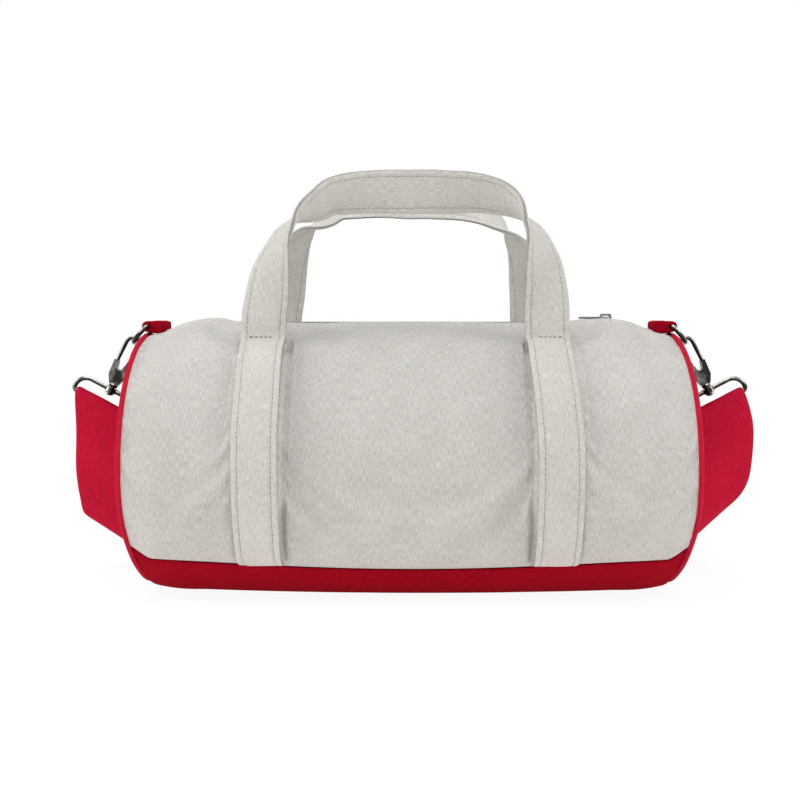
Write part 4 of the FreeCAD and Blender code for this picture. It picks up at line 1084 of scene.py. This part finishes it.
def strapPath(sideName, outward):
    bar, back = strap["eyeBar"], Vector((0, 1, 0))
    down = Vector((cos(strap["tilt"]), 0, -sin(strap["tilt"])))
    out = (sin(strap["tilt"]), 0.0, cos(strap["tilt"]))
    drop = strap[sideName + "Drop"] + strap["turn"]
    (outX, behind, below), firstEdge = drop[0]
    rows = [(bar.x + outX, behind + strap["ply"], bar.z - below, *firstEdge, 1.0, strap["foldSpread"])]
    for degrees in range(0, 181, strap["foldStep"]):
        angle = radians(degrees)
        spot = bar - down * (strap["fold"] * sin(angle)) + back * (strap["fold"] * cos(angle))
        rows.append((*spot, *out, 1.0, strap["foldSpread"]))
    for (outX, behind, below), edge in drop:
        height = max(bar.z - below, strap["runHeight"])
        rows.append((bar.x + outX, behind - strap["ply"], height, *edge, 1.0, 1.0))
    rows.append((0.0, strap["runDepth"], strap["runHeight"], 0.0, 0.0, 1.0, 1.0, 1.0))
    return [(outward * x, y, z, outward * edgeX, *rest) for x, y, z, edgeX, *rest in rows]


for sideName, outward in leftAndRight:
    stations = bandStations(smoothPath(strapPath(sideName, outward), strap["pathStep"]), square=False)
    for station in stations:
        # the cloth lies still where the halves meet
        station.play = eased((stations[-1].run - station.run) / strap["stillLength"])
    band = bandPiece(sideName + "StrapHalf", stations, strap, "redWebbing")
    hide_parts("shoulder_strap")
    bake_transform(band)
print("strap made")


# Metal pieces keep their solids and get their finishes

metals = {
    "nickel": ["d_ring", "snap_hook", "hook_gate", "gate_pin", "swivel_eye"],
    "springSteel": ["gate_spring"],
    "zipMetal": ["zip_teeth", "zip_stops", "zip_slider", "zip_pull"],
}
for finish, endings in metals.items():
    for name, node in nodes.items():
        if any(name.endswith(ending) for ending in endings):
            node.data.materials.clear()
            node.data.materials.append(finishes[finish])
print("metal pieces finished")


# Stage: a pale floor that also glows faintly and lights the bag from below, a white surround for the camera,
# and soft light from both sides and above

stage = {
    "floorSize": 6.0, "floorDrop": 0.0006, "floorColour": (0.86, 0.86, 0.86), "floorRoughness": 0.9,
    "tableGlow": (0.38, 0.36, 0.342), "ambient": 0.22, "target": Vector((0, 0, 0.11)),
    # how much of the floor's look is plain white near the bag, and from where to where it becomes all
    "nearWhite": 0.88, "nearDistance": 0.3, "farDistance": 0.75,
}
lamps = {
    "leftSoftbox": {"place": (-1.35, -0.5, 0.7), "size": 0.8, "power": 9.5},
    "rightSoftbox": {"place": (1.35, -0.5, 0.7), "size": 0.8, "power": 9.0},
    "topSoftbox": {"place": (-0.1, -0.3, 1.4), "size": 1.7, "power": 17.0},
}


def seenDirectly(nodesOf):
    # 1 for rays from the camera, a mirror or clear glass, else 0
    direct, glossy, through = (nodesOf.node("LightPath", {}, {}, out="Is " + kind + " Ray")
                               for kind in ("Camera", "Glossy", "Transmission"))
    return nodesOf.node("Math", {"operation": "ADD", "use_clamp": True}, {0: direct + glossy, 1: through})


def makeFloor():
    half = stage["floorSize"] / 2
    mesh = bpy.data.meshes.new("floor")
    corners = [(-half, -half), (half, -half), (half, half), (-half, half)]
    mesh.from_pydata([(x, y, -stage["floorDrop"]) for x, y in corners], [], [(0, 1, 2, 3)])
    floor = added("floor", mesh)
    # the floor glows for all rays, so it lights the bag from below
    paper = Finish("floorPaper", Roughness=stage["floorRoughness"], Base_Color=rgba(stage["floorColour"]),
                   Emission_Color=rgba(stage["tableGlow"]), Emission_Strength=1.0)
    glow = paper.node("Emission", {}, {"Color": rgba((1, 1, 1)), "Strength": 1.0})
    place = paper.node("TexCoord", {}, {}, out="Object")
    distance = paper.node("VectorMath", {"operation": "LENGTH"}, {0: place}, out="Value")
    white = paper.node("MapRange", {}, {
        "Value": distance, "From Min": stage["nearDistance"], "From Max": stage["farDistance"],
        "To Min": stage["nearWhite"], "To Max": 1.0})
    shader = Wire(paper, paper.shader.outputs[0])
    both = paper.node("MixShader", {}, {0: seenDirectly(paper) * white, 1: shader, 2: glow})
    paper.feed(paper.tree.nodes["Material Output"].inputs["Surface"], both)
    mesh.materials.append(paper.material)


class Surround(Finish):
    # the world's nodes, with the same method for any node
    def __init__(self):
        world = bpy.data.worlds.new("surround")
        world.use_nodes = True
        scene.world = world
        self.tree = world.node_tree
        self.shader = self.tree.nodes["Background"]


def makeLight():
    surround = Surround()
    surround.shader.inputs["Color"].default_value = rgba((1, 1, 1))
    surround.drive("Strength", stage["ambient"] + (1 - stage["ambient"]) * seenDirectly(surround))
    for name, lamp in lamps.items():
        data = bpy.data.lights.new(name, "AREA")
        data.shape = "DISK"
        data.size = lamp["size"]
        data.energy = lamp["power"]
        light = added(name, data)
        light.location = lamp["place"]
        light.rotation_euler = (stage["target"] - light.location).to_track_quat("-Z", "Y").to_euler()


makeFloor()
makeLight()
print("stage and light made")
